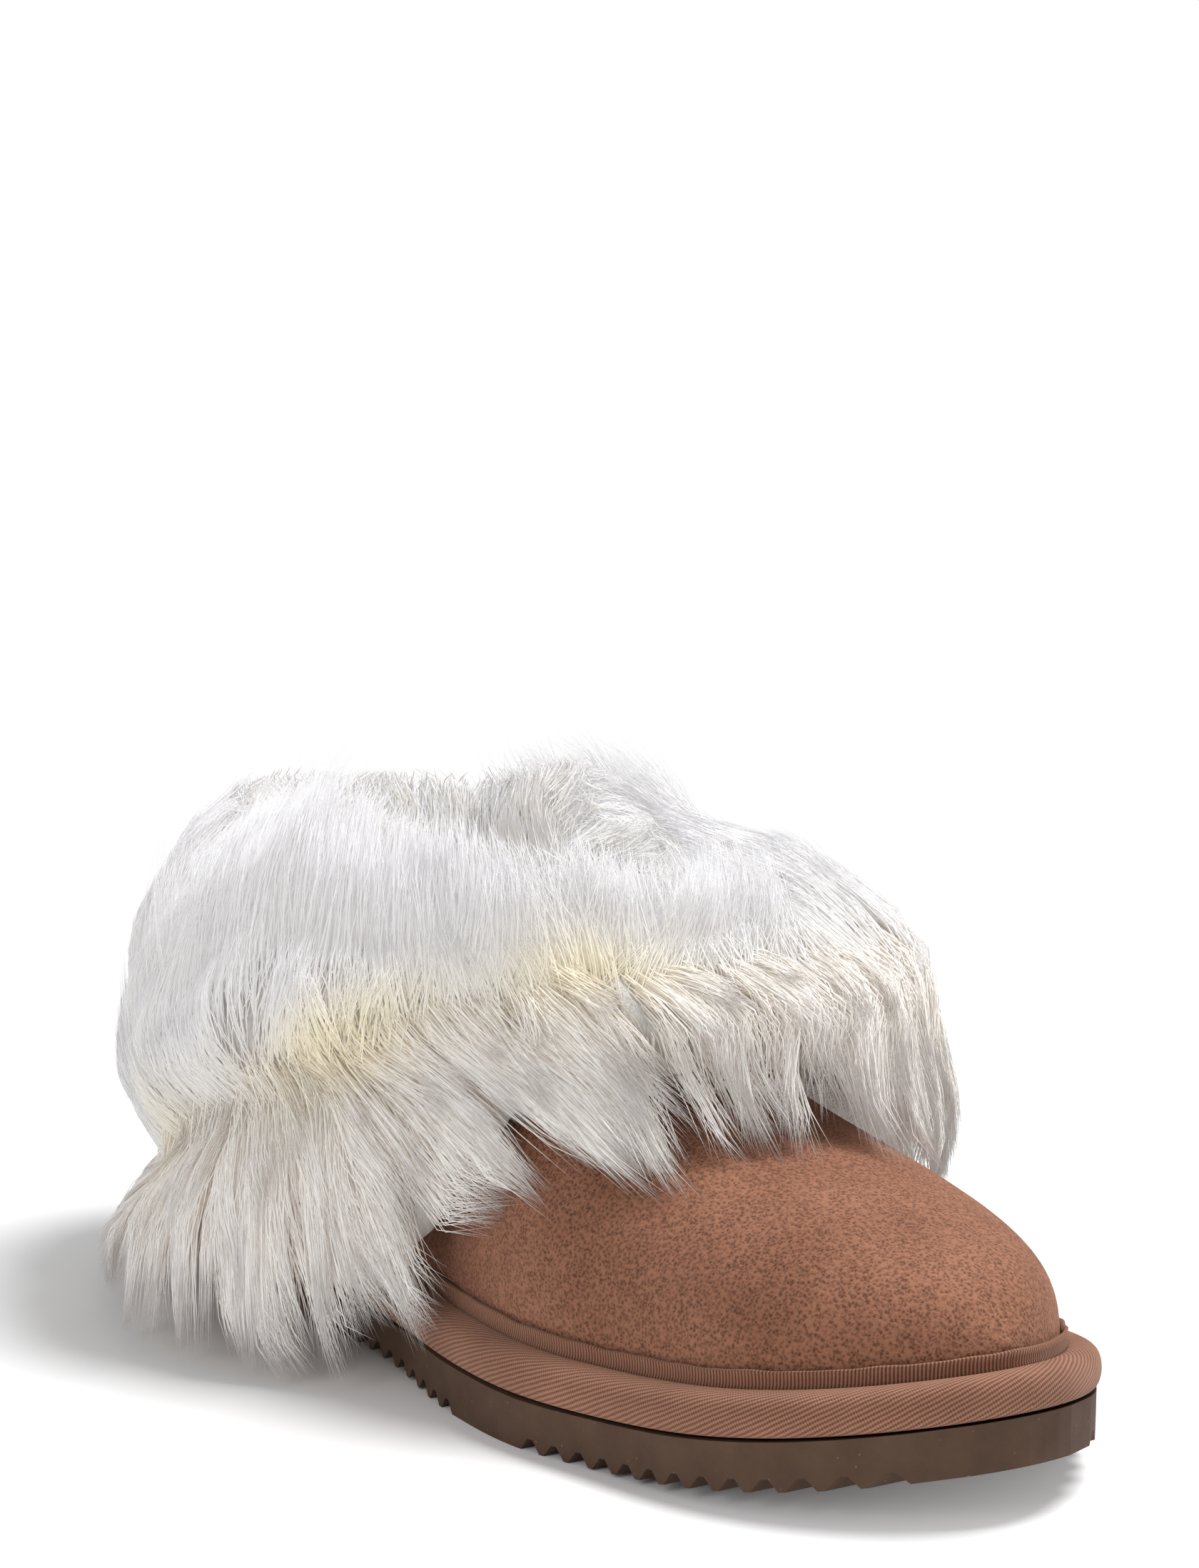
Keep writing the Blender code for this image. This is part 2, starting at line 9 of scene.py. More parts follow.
import bmesh
import bpy
import numpy as np
from mathutils import Matrix, Vector
from mathutils.bvhtree import BVHTree


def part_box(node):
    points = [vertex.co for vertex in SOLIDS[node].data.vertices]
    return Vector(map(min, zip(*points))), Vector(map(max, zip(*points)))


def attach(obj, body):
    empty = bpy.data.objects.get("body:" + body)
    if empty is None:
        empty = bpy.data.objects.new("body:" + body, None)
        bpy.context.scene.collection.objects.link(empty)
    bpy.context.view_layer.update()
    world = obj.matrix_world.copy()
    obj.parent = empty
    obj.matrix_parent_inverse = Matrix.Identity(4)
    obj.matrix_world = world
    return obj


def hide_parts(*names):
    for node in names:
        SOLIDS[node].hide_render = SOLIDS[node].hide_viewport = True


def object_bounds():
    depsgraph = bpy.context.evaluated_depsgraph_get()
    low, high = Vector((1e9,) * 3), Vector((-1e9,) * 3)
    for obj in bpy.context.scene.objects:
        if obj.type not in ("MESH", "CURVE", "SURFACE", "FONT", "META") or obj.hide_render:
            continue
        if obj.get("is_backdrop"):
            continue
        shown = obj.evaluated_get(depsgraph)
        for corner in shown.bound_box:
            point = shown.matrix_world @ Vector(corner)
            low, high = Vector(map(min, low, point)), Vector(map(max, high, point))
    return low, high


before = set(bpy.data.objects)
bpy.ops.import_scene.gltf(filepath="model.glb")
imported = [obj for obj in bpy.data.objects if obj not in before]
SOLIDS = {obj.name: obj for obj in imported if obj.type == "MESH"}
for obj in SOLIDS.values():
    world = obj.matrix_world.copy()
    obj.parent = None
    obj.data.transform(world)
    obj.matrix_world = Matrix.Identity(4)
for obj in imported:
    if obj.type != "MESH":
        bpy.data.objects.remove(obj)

CAD_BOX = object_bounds()
MM = 0.001
dice = np.random.default_rng(7)
print("CAD box", [[round(c, 4) for c in corner] for corner in CAD_BOX])

# %% [markdown]
# ## The camera
# The photograph was taken with a long lens, low and from the outer side of the toe. A camera was fitted
# to the edges of the outsole and the welt: its turn, height, roll and lens are these numbers.

# %% Place the camera
CAMERA_TURN = math.radians(54.224)
CAMERA_HEIGHT = math.radians(9.0)
CAMERA_ROLL = math.radians(0.767)
CAMERA_DISTANCE = 1.0
LOOK_AT = Vector((0.0872, 0.0, 0.12457))


def place_camera():
    turn, height, roll = CAMERA_TURN, CAMERA_HEIGHT, CAMERA_ROLL
    back = Vector((math.sin(turn) * math.cos(height), -math.cos(turn) * math.cos(height), math.sin(height)))
    level = Vector((math.cos(turn), math.sin(turn), 0))
    above = back.cross(level)
    right = math.cos(roll) * level + math.sin(roll) * above
    up = math.cos(roll) * above - math.sin(roll) * level
    data = bpy.data.cameras.new("camera")
    data.lens = 108.01
    data.sensor_fit = "VERTICAL"
    data.sensor_width = 36
    data.sensor_height = 36
    camera = bpy.data.objects.new("camera", data)
    bpy.context.scene.collection.objects.link(camera)
    turned = Matrix((right, up, back)).transposed().to_4x4()
    camera.matrix_world = Matrix.Translation(LOOK_AT + back * CAMERA_DISTANCE) @ turned
    bpy.context.scene.camera = camera
    print("camera at", [round(c, 4) for c in camera.matrix_world.translation])


place_camera()

# %% [markdown]
# ## Shader maths
# A material is easier to read as an expression than as a list of links. The class below wraps one
# output socket, so that adding or multiplying two of them adds the Math node that does it.


# %% Wrap a socket
class Socket:
    """One output of a material's nodes, with Python's operators."""

    def __init__(self, tree, output):
        self.tree = tree
        self.output = output

    def node(self, kind, settings=None, **inputs):
        """Adds a node; settings come first, then the sockets by name or by the place in _0, _1."""
        made = self.tree.nodes.new("ShaderNode" + kind)
        for name, value in (settings or {}).items():
            if name == "stops":
                set_stops(made.color_ramp, value)
            else:
                setattr(made, name, value)
        for name, value in inputs.items():
            key = int(name[1:]) if name[0] == "_" else name.replace("_", " ")
            join(self.tree, value, made.inputs[key])
        return made

    def math(self, operation, *values):
        made = self.node("Math", {"operation": operation}, **{f"_{i}": v for i, v in enumerate(values)})
        return Socket(self.tree, made.outputs[0])

    def sine(self):
        return self.math("SINE", self)

    def __add__(self, other):
        return self.math("ADD", self, other)

    def __radd__(self, other):
        return self.math("ADD", other, self)

    def __sub__(self, other):
        return self.math("SUBTRACT", self, other)

    def __rsub__(self, other):
        return self.math("SUBTRACT", other, self)

    def __mul__(self, other):
        return self.math("MULTIPLY", self, other)

    def __rmul__(self, other):
        return self.math("MULTIPLY", other, self)

    def __truediv__(self, other):
        return self.math("DIVIDE", self, other)

    def __rtruediv__(self, other):
        return self.math("DIVIDE", other, self)


def join(tree, value, socket):
    """Links a wrapped socket, or sets a plain value."""
    if isinstance(value, Socket):
        tree.links.new(value.output, socket)
    elif isinstance(value, tuple) and socket.type == "RGBA":
        socket.default_value = (*value, 1)
    else:
        socket.default_value = value


def set_stops(ramp, stops):
    while len(ramp.elements) < len(stops):
        ramp.elements.new(0.5)
    for element, (place, color) in zip(ramp.elements, stops):
        element.position = place
        element.color = (*color, 1) if isinstance(color, tuple) else (color, color, color, 1)


# %% [markdown]
# Each finish starts from the same few steps: an empty material with its Principled shader, a
# coordinate to read, noises at a size in metres, a blend of two colours, and a bump.


# %% Start a material
NOISE_ROUGHNESS = 0.55


def new_finish(name, roughness, sheen=0.0, tint=(1, 1, 1)):
    """A material, its Principled shader, and a wrapped socket of its Object coordinates."""
    finish = bpy.data.materials.new(name)
    finish.use_nodes = True
    tree = finish.node_tree
    shader = tree.nodes["Principled BSDF"]
    shader.inputs["Roughness"].default_value = roughness
    shader.inputs["Sheen Weight"].default_value = sheen
    shader.inputs["Sheen Roughness"].default_value = 0.5
    shader.inputs["Sheen Tint"].default_value = (*tint, 1)
    shader.inputs["Specular IOR Level"].default_value = 0.25
    place = Socket(tree, tree.nodes.new("ShaderNodeTexCoord").outputs["Object"])
    return finish, shader, place


def noise(place, size, detail=3.0, distortion=0.0):
    """A noise whose lumps are about size metres across, from 0 to 1."""
    made = place.node("TexNoise", Vector=place, Scale=1 / size, Detail=detail, Roughness=NOISE_ROUGHNESS,
                      Distortion=distortion)
    return Socket(place.tree, made.outputs["Fac"])


def cells(place, size):
    """The distance from the nearest of many scattered points, size metres apart."""
    made = place.node("TexVoronoi", Vector=place, Scale=1 / size)
    return Socket(place.tree, made.outputs["Distance"])


def ramp(value, *stops):
    made = value.node("ValToRGB", {"stops": stops}, Fac=value)
    return Socket(value.tree, made.outputs["Color"])


def blend(share, first, second):
    """A colour between two, by a share."""
    made = share.node("Mix", {"data_type": "RGBA"}, _0=share, _6=first, _7=second)
    return Socket(share.tree, made.outputs[2])


def stretch(place, scale):
    made = place.node("VectorMath", {"operation": "MULTIPLY"}, _0=place, _1=scale)
    return Socket(place.tree, made.outputs[0])


def raise_bump(shader, height, distance, strength=1.0):
    """Height in shares of distance, in metres, as the shader's normal."""
    made = height.node("Bump", Height=height, Distance=distance, Strength=strength)
    join(height.tree, Socket(height.tree, made.outputs[0]), shader.inputs["Normal"])


# %% [markdown]
# ## Suede and pile
# Suede is leather with a brushed nap. Close up it is a pebbly, wormy grain of pits and pale fibre tips
# less than a millimetre across, and the nap lies this way and that in soft, wide clouds. The inside of
# the upper and the footbed have a short, tufted pile instead.


# %% Make the suede and the pile
def suede_finish():
    finish, shader, place = new_finish("suede", 0.92, 0.35, (0.75, 0.45, 0.32))
    worms = noise(place, 1.3 * MM, 4, 2.2)
    pits = cells(place, 0.8 * MM)
    fuzz = noise(place, 0.3 * MM, 2)
    clouds = noise(place, 26 * MM, 3, 0.5)
    grain = worms * 0.55 + pits * 0.35 + fuzz * 0.25
    ground = ramp(clouds, (0.32, (0.085, 0.032, 0.018)), (0.68, (0.120, 0.047, 0.026)))
    light = ramp(clouds, (0.3, (0.270, 0.113, 0.064)), (0.7, (0.350, 0.156, 0.093)))
    shade = ramp(grain, (0.42, 0.0), (0.66, 1.0))
    join(place.tree, blend(shade, ground, light), shader.inputs["Base Color"])
    raise_bump(shader, grain, 0.55 * MM, 0.85)
    return finish


def pile_finish():
    """The short pile on the footbed and inside the upper."""
    finish, shader, place = new_finish("pile", 0.9, 0.5)
    tufts = noise(place, 2.2 * MM, 3, 0.8)
    color = ramp(tufts, (0.3, (0.52, 0.46, 0.37)), (0.7, (0.80, 0.75, 0.66)))
    join(place.tree, color, shader.inputs["Base Color"])
    raise_bump(shader, tufts, 1.2 * MM, 0.9)
    return finish


SUEDE = suede_finish()
LINING_PILE = pile_finish()
print("made", SUEDE.name, "and", LINING_PILE.name)

# %% [markdown]
# ## The upper
# The CAD upper has the right form, but as flat facets. A copy with its doubles merged and its triangles
# paired into four-sided faces can be subdivided, which rounds the leather without moving it. The faces
# that look at the foot get the pile.


# %% Copy a solid and smooth it
def smooth_copy(node, name, levels):
    """A merged, subdivided copy of a CAD node, as one mesh at the origin."""
    bpy.ops.object.select_all(action="DESELECT")
    piece = bpy.data.objects.new(name, SOLIDS[node].data.copy())
    bpy.context.scene.collection.objects.link(piece)
    piece.data.materials.clear()
    piece.select_set(True)
    bpy.context.view_layer.objects.active = piece
    bpy.ops.object.mode_set(mode="EDIT")
    bpy.ops.mesh.select_all(action="SELECT")
    bpy.ops.mesh.remove_doubles(threshold=0.02 * MM)
    bpy.ops.mesh.tris_convert_to_quads(face_threshold=math.radians(50), shape_threshold=math.radians(60))
    bpy.ops.object.mode_set(mode="OBJECT")
    if levels:
        round_off = piece.modifiers.new("round_off", "SUBSURF")
        round_off.levels = levels
        round_off.render_levels = levels
        bpy.ops.object.modifier_apply(modifier=round_off.name)
    bpy.ops.object.shade_smooth()
    return piece


def triangles(piece):
    piece.data.calc_loop_triangles()
    return len(piece.data.loop_triangles)


FOOT_LINE = (0.03, 0.19)
FOOT_LINE_HEIGHT = 24 * MM
OPEN_BEFORE = 0.10
FACING_SHARE = 0.3


def looks_inwards(face):
    """Whether a face of the upper looks at the foot's middle line and not at the room."""
    start, end = FOOT_LINE
    inwards = Vector((min(max(face.center.x, start), end), 0, FOOT_LINE_HEIGHT)) - face.center
    if face.center.x < OPEN_BEFORE:
        inwards.z = 0
    return face.normal.dot(inwards.normalized()) > FACING_SHARE


upper = smooth_copy("upper", "upper_suede", 2)
upper.data.materials.append(SUEDE)
upper.data.materials.append(LINING_PILE)
for face in upper.data.polygons:
    face.material_index = int(looks_inwards(face))
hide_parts("upper")
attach(upper, "root")
print(upper.name, triangles(upper), "triangles")

# %% [markdown]
# ## Measuring the shoe for what lies on it
# The fur and the tape follow the shoe's own surface, so that surface is measured by casting rays at the
# solids: the collar's rim at each turn, the shoe's wall at each turn and height, and how far the
# fur solid reaches from a line on that wall.

# %% Cast rays at the solids
TURN_STEP = 3.0
TURNS = np.arange(0, 360, TURN_STEP)
RISE_STEP = 5.0
RISES = np.arange(-100, 261, RISE_STEP)
WALL_STEP = 2 * MM
WALL_HEIGHTS = np.arange(0, 0.112, WALL_STEP)
FAR = 0.4
BACK_HEIGHT = 45 * MM
FOOTBED_TOP = 30 * MM
RIM_LIP = 1.3 * MM


def tree_of(*nodes):
    """One search tree over several CAD nodes."""
    corners, faces = [], []
    for node in nodes:
        mesh = SOLIDS[node].data
        start = len(corners)
        corners += [v.co.copy() for v in mesh.vertices]
        faces += [[start + i for i in p.vertices] for p in mesh.polygons]
    return BVHTree.FromPolygons(corners, faces)


SHOE = tree_of("upper", "welt_tape", "outsole")
UPPER = tree_of("upper")
FUR = tree_of("fur_collar")


def outwards(turn):
    return Vector((math.cos(math.radians(turn)), math.sin(math.radians(turn)), 0))


def collar_middle():
    """The x in the middle of the collar's opening: halfway between its back and its front."""
    low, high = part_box("upper")
    back = UPPER.ray_cast(Vector((low.x - FAR, 0, BACK_HEIGHT)), Vector((1, 0, 0)))[0].x
    for front in np.arange(back + 20 * MM, high.x, MM):
        hit = UPPER.ray_cast(Vector((front, 0, FAR)), Vector((0, 0, -1)))[0]
        if hit is not None and hit.z > FOOTBED_TOP:
            return (back + front) / 2
    raise ValueError("no front edge of the collar was found")


MIDDLE = collar_middle()


def rim_at(turn):
    """The rim's radius and height: the highest place where the upper is seen from inside."""
    for height in np.arange(0.110, FOOTBED_TOP, -0.5 * MM):
        hit = UPPER.ray_cast(Vector((MIDDLE, 0, height)), outwards(turn))[0]
        if hit is not None:
            return math.hypot(hit.x - MIDDLE, hit.y) + RIM_LIP, height
    raise ValueError("no rim was found")


RIM = np.array([rim_at(turn) for turn in TURNS])
print("collar middle", round(MIDDLE, 4), "rim radius", RIM[:, 0].min().round(4), RIM[:, 0].max().round(4))


# %% Measure the shoe's wall
def wall_at(turn, height):
    """How far out the shoe's outer face is at a turn and height, or 0 above it."""
    away = outwards(turn)
    hit = SHOE.ray_cast(Vector((MIDDLE, 0, height)) + away * FAR, -away, FAR)[0]
    return 0.0 if hit is None else math.hypot(hit.x - MIDDLE, hit.y)


def soften(grid, passes):
    """Evens out a grid round the collar."""
    for _ in range(passes):
        grid = (np.roll(grid, 1, 0) + 2 * grid + np.roll(grid, -1, 0)) / 4
    return grid


def read(grid, turn, value, first, step):
    """A grid's value between its rows, for arrays of turns in degrees and of the other value."""
    row = (turn % 360) / TURN_STEP
    column = np.clip((value - first) / step, 0, grid.shape[1] - 1.001)
    low, left = np.floor(row).astype(int), np.floor(column).astype(int)
    up, over = row - low, column - left
    low, high = low % len(TURNS), (low + 1) % len(TURNS)
    near = grid[low, left] * (1 - over) + grid[low, left + 1] * over
    far = grid[high, left] * (1 - over) + grid[high, left + 1] * over
    return near * (1 - up) + far * up


WALL = np.array([[wall_at(turn, height) for height in WALL_HEIGHTS] for turn in TURNS])
RIM = soften(RIM, 2)


def to_space(turn, radius, height):
    """Polar places as points."""
    angle = np.radians(turn)
    return np.stack([MIDDLE + radius * np.cos(angle), radius * np.sin(angle), height], axis=-1)


def keep_off(turn, radius, height, gap):
    """Moves places outwards until they are off the shoe."""
    wall = read(WALL, turn, height, 0.0, WALL_STEP)
    return np.where(wall > 0, np.maximum(radius, wall + gap), radius)


# %% [markdown]
# The hair grows from a line, the part line. It follows the rim over the instep and the outer side and
# sinks down the wall towards the heel. The fur's face is measured from it, in a fan of directions from
# straight down, through outwards, to over the crest and down inside.

# %% Measure the fur's face from the line
LINE_TURNS = (0, 50, 70, 90, 110, 145, 180, 215, 240, 265, 285, 300)
LINE_SHARES = (0.94, 0.94, 0.90, 0.82, 0.72, 0.56, 0.50, 0.48, 0.56, 0.80, 0.92, 0.94)
LINE_GAP = 1.5 * MM
OVER_THE_CREST = 95
DEEPEST_INSIDE = 60 * MM
LEAST_REACH = 3 * MM


def reach_at(turn, radius, height, rise):
    """How far the fur solid reaches from a root, in the half plane of one turn."""
    angle, lift = math.radians(turn), math.radians(rise)
    way = Vector((math.cos(angle) * math.cos(lift), math.sin(angle) * math.cos(lift), math.sin(lift)))
    root = Vector((MIDDLE + radius * math.cos(angle), radius * math.sin(angle), height))
    if rise > OVER_THE_CREST:
        hit = FUR.ray_cast(root, way, DEEPEST_INSIDE)[0]
    else:
        hit = FUR.ray_cast(root + way * FAR, -way, FAR)[0]
    return LEAST_REACH if hit is None else max((hit - root).length, LEAST_REACH)


def make_fan(radii, heights):
    """Roots round the collar, the fur's reach from them, and the direction of its hem."""
    far = np.array([[reach_at(*root, rise) for rise in RISES] for root in zip(TURNS, radii, heights)])
    far = soften(far, 2)
    below = RISES <= 0
    lowest = heights[:, None] + far[:, below] * np.sin(np.radians(RISES[below]))
    hems = RISES[below][lowest.argmin(1)].astype(float)
    return {"radius": radii, "height": heights, "reach": far, "hem": soften(hems[:, None], 1)[:, 0]}


def at(fan, column, turn):
    return np.interp(turn % 360, TURNS, fan[column], period=360)


line_heights = RIM[:, 1] * np.interp(TURNS, LINE_TURNS, LINE_SHARES, period=360)
line_radii = keep_off(TURNS, RIM[:, 0], line_heights, 0.0) + LINE_GAP
PART_LINE = make_fan(line_radii, line_heights)
print("fur reaches", (PART_LINE["reach"].max() * 1000).round(1), "mm from its part line at most")

# %% [markdown]
# ## Fur
# Each hair is a thin three-sided tube that narrows to a point. It remembers how far along it each point
# lies, a tone of its own, how deep it lies in its lock and how creamy it is, and its finish reads them:
# depth as painted shade, with a painted glow over all.

# %% Draw hairs as tubes
TUBE_CORNERS = (0.5, 2.594, 4.689)
SIDEWAYS = np.array([0.3, 0.2, 0.93])
TAPER = 0.75


def hair_piece(name, paths, thick, marks, finish):
    """One mesh of many tapering tubes. paths is (hairs, points, 3), marks has values for hairs or points."""
    hairs, points = paths.shape[:2]
    along = np.gradient(paths, axis=1)
    along /= np.linalg.norm(along, axis=2, keepdims=True) + 1e-12
    side = np.cross(along, SIDEWAYS)
    side /= np.linalg.norm(side, axis=2, keepdims=True) + 1e-12
    other = np.cross(along, side)
    share = np.linspace(0, 1, points)[None, :, None]
    width = thick[:, None, None] * (1 - TAPER * share**2.2) / 2
    rings = [paths + width * (math.cos(a) * side + math.sin(a) * other) for a in TUBE_CORNERS]
    rings = np.stack(rings, axis=2)[:, :-1]
    corners = np.concatenate([rings.reshape(hairs, -1, 3), paths[:, -1:]], axis=1)
    each = corners.shape[1]
    quads, tip = [], each - 1
    for ring in range(points - 2):
        for corner in range(3):
            here, ahead = 3 * ring + corner, 3 * ring + (corner + 1) % 3
            quads.append((here, ahead, ahead + 3, here + 3))
    last = 3 * (points - 2)
    ends = [(last, last + 1, tip), (last + 1, last + 2, tip), (last + 2, last, tip), (2, 1, 0)]
    offsets = (np.arange(hairs) * each)[:, None, None]
    faces = (np.array(quads)[None] + offsets).reshape(-1, 4).tolist()
    faces += (np.array(ends)[None] + offsets).reshape(-1, 3).tolist()
    mesh = bpy.data.meshes.new(name)
    mesh.from_pydata(corners.reshape(-1, 3), [], faces)
    for label, values in {"along": share[:, :, 0], **marks}.items():
        grid = np.broadcast_to(values if values.ndim == 2 else values[:, None], (hairs, points))
        grid = np.concatenate([np.repeat(grid[:, :-1], 3, axis=1), grid[:, -1:]], axis=1)
        marked = mesh.attributes.new(label, "FLOAT", "POINT")
        marked.data.foreach_set("value", grid.astype(np.float32).ravel())
    mesh.shade_smooth()
    mesh.materials.append(finish)
    piece = bpy.data.objects.new(name, mesh)
    bpy.context.scene.collection.objects.link(piece)
    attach(piece, "root")
    print(name, hairs, "hairs,", triangles(piece), "triangles")
    return piece


# %% Make the hair's finish
def mark(place, label):
    """A value that the mesh remembers."""
    reader = place.node("Attribute", {"attribute_name": label})
    return Socket(place.tree, reader.outputs["Fac"])


def multiplied(first, second):
    made = first.node("Mix", {"data_type": "RGBA", "blend_type": "MULTIPLY"}, _0=1.0, _6=first, _7=second)
    return Socket(first.tree, made.outputs[2])


def hair_finish(name, body, tip, cream, gap, rough, glow):
    """Pale hair: cream where it is marked so, with painted shade towards the colour gap deep inside a lock,
    and painted light: its colour also glows at strength glow, though it is no lamp.
    """
    finish, shader, place = new_finish(name, rough, 0.25)
    color = ramp(mark(place, "along"), (0.5, body), (1.0, tip))
    color = blend(mark(place, "cream"), color, cream)
    tone = blend(mark(place, "tone"), (0.86, 0.85, 0.845), (1.0, 1.0, 1.0))
    # Painted shade: hairs marked deep in their lock are multiplied down towards the colour gap.
    depth = blend(mark(place, "depth"), (1.0, 1.0, 1.0), gap)
    color = multiplied(multiplied(color, tone), depth)
    join(place.tree, color, shader.inputs["Base Color"])
    # Painted light: the hair glows with its own colour at strength glow, though it is no lamp.
    join(place.tree, color, shader.inputs["Emission Color"])
    shader.inputs["Emission Strength"].default_value = glow
    return finish


# In each hair finish the fourth colour is the painted shade deep in a lock and the last number the painted
# glow; the soft hair has a darker base with a stronger painted glow.
HAIR = hair_finish("long_hair", (0.83, 0.81, 0.78), (0.86, 0.845, 0.845), (0.84, 0.78, 0.62),
                   (0.62, 0.55, 0.48), 0.5, 0.25)
SOFT_HAIR = hair_finish("soft_hair", (0.66, 0.65, 0.65), (0.65, 0.645, 0.665), (0.72, 0.67, 0.53),
                        (0.90, 0.88, 0.86), 0.6, 0.35)

# %% [markdown]
# The undercoat is the dense, short hair that fills the fur below its long hairs. It starts as a torus,
# whose points are laid a few millimetres under the fur's face, and shows only between the locks.


# %% Make the undercoat
UNDERCOAT_DEPTH = 5.0 * MM
UNDERCOAT_LEAST = 0.8 * MM
UNDERCOAT_GAP = 0.4 * MM
HEM_LIFT = 14.0 * MM
LOW_RISE = -15
LOW_SHARE = 1.6


def make_undercoat():
    columns = len(RISES) - 1
    bpy.ops.object.select_all(action="DESELECT")
    bpy.ops.mesh.primitive_torus_add(major_segments=len(TURNS), minor_segments=columns, major_radius=0.07,
                                     minor_radius=0.03)
    piece = bpy.context.object
    piece.name = "fur_undercoat"
    face = soften(PART_LINE["reach"][:, :-1], 6)
    for _ in range(2):
        face = (np.roll(face, 1, 1) + 2 * face + np.roll(face, -1, 1)) / 4
    depth = UNDERCOAT_DEPTH * np.where(RISES[:-1] < LOW_RISE, LOW_SHARE, 1.0)
    away = np.maximum(face - depth, UNDERCOAT_LEAST)
    turn = np.broadcast_to(TURNS[:, None], away.shape)
    angle = np.radians(RISES[:-1])[None, :]
    radius = PART_LINE["radius"][:, None] + away * np.cos(angle)
    height = PART_LINE["height"][:, None] + away * np.sin(angle)
    hem_reach = read(PART_LINE["reach"], TURNS, PART_LINE["hem"], RISES[0], RISE_STEP)
    hem = PART_LINE["height"] + hem_reach * np.sin(np.radians(PART_LINE["hem"]))
    height = np.maximum(height, np.minimum(hem + HEM_LIFT, PART_LINE["height"] - 2 * MM)[:, None])
    radius = np.where(np.cos(angle) > 0, keep_off(turn, radius, height, UNDERCOAT_GAP), radius)
    corners = to_space(turn, radius, height)
    piece.data.vertices.foreach_set("co", corners.ravel())
    bpy.ops.object.shade_smooth()
    return piece


def undercoat_finish():
    finish, shader, place = new_finish("undercoat", 0.85, 0.3)
    streaks = noise(stretch(place, (1, 1, 0.10)), 0.7 * MM, 3, 0.4)
    # Painted shade: the undercoat is a darker grey than the long hair, so the gaps between locks look
    # shaded; its streaks are the hair's own texture.
    color = ramp(streaks, (0.3, (0.47, 0.44, 0.40)), (0.7, (0.66, 0.64, 0.61)))
    join(place.tree, color, shader.inputs["Base Color"])
    raise_bump(shader, streaks, 0.8 * MM, 0.8)
    return finish


undercoat = make_undercoat()
undercoat.data.materials.clear()
undercoat.data.materials.append(undercoat_finish())
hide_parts("fur_collar")
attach(undercoat, "root")
print(undercoat.name, triangles(undercoat), "triangles")

# %% [markdown]
# A hair starts inside the fur, comes up to its face and runs along it. Its place is a turn round the
# collar, a direction out from the line, and a depth below the face. The hair parts in one direction,
# which climbs the face over the instep: below it hairs fall, and above it they rise. The hairs of one
# lock lie side by side in a rounded strand and close up to a common point.


# %% Run hairs over the fur's face
HAIR_POINTS = 5
HEM_MARGIN = 3.0
HEM_DROP = 0.7
CREAM_REACH = 17
CREAM_SPOTS = ((70, 14, 0.5), (140, 20, 0.5), (205, 10, 0.3), (256, 10, 0.45), (305, 15, 1.0), (341, 9, 1.0))
PARTING_TURNS = (0, 15, 30, 50, 265, 290, 307, 325, 340, 360)
PARTING_RISES = (38, 30, 16, 4, 4, 9, 19, 34, 42, 38)


def parting(turn):
    """The direction in which the hair parts at a turn: it climbs the fur's face over the instep."""
    return np.interp(turn % 360, PARTING_TURNS, PARTING_RISES)


def run_hairs(fan, hair):
    """Paths of hairs. Each entry of hair is an array over them; lengths across are in metres."""
    t = np.linspace(0, 1, HAIR_POINTS)[None, :]
    closed = hair["close"][:, None] * t ** hair["late"][:, None]
    rise = hair["start"][:, None] + (hair["end"] - hair["start"])[:, None] * t
    rise = rise + hair["over"][:, None] * (1 - closed)
    turn = hair["turn"][:, None] + hair["sweep"][:, None] * t ** 1.2
    face = read(fan["reach"], turn, rise, RISES[0], RISE_STEP)
    round_about = at(fan, "radius", turn) + face * np.cos(np.radians(rise))
    across = hair["across"][:, None] * (1 - closed) + hair["stray"][:, None] * t**2
    turn = turn + np.degrees(across / np.maximum(round_about, 20 * MM))
    turn = turn + hair["curl"][:, None] * np.sin(5.0 * t + hair["phase"][:, None]) * t
    past_hem = np.maximum(at(fan, "hem", turn) + HEM_MARGIN - rise, 0)
    rise = rise + past_hem
    face = read(fan["reach"], turn, rise, RISES[0], RISE_STEP)
    buried = (1 - t) ** 2.4
    depth = hair["root"][:, None] * buried + hair["layer"][:, None] * (1 - buried) * (1 - closed * t)
    away = np.maximum(face - depth + hair["lift"][:, None] * t**2, 0.25 * face)
    radius = at(fan, "radius", turn) + away * np.cos(np.radians(rise))
    height = at(fan, "height", turn) + away * np.sin(np.radians(rise))
    height = height - HEM_DROP * np.radians(past_hem) * face
    off = keep_off(turn, radius, height, (0.5 + 1.6 * hair["tone"][:, None]) * MM)
    radius = np.where(np.cos(np.radians(rise)) > 0, off, radius)
    cream = np.exp(-((rise - parting(turn)) / CREAM_REACH) ** 2) * patchy(turn)
    return to_space(turn, radius, np.maximum(height, 0.5 * MM)), cream


def patchy(turn):
    """How strongly the parting shows cream at a turn."""
    return sum((size * np.exp(-((turn - spot) / wide) ** 2) for spot, wide, size in CREAM_SPOTS), 0.12)


def join_hairs(*sets):
    """Several sets of hairs as one."""
    return {key: np.concatenate([each[key] for each in sets]) for key in sets[0]}


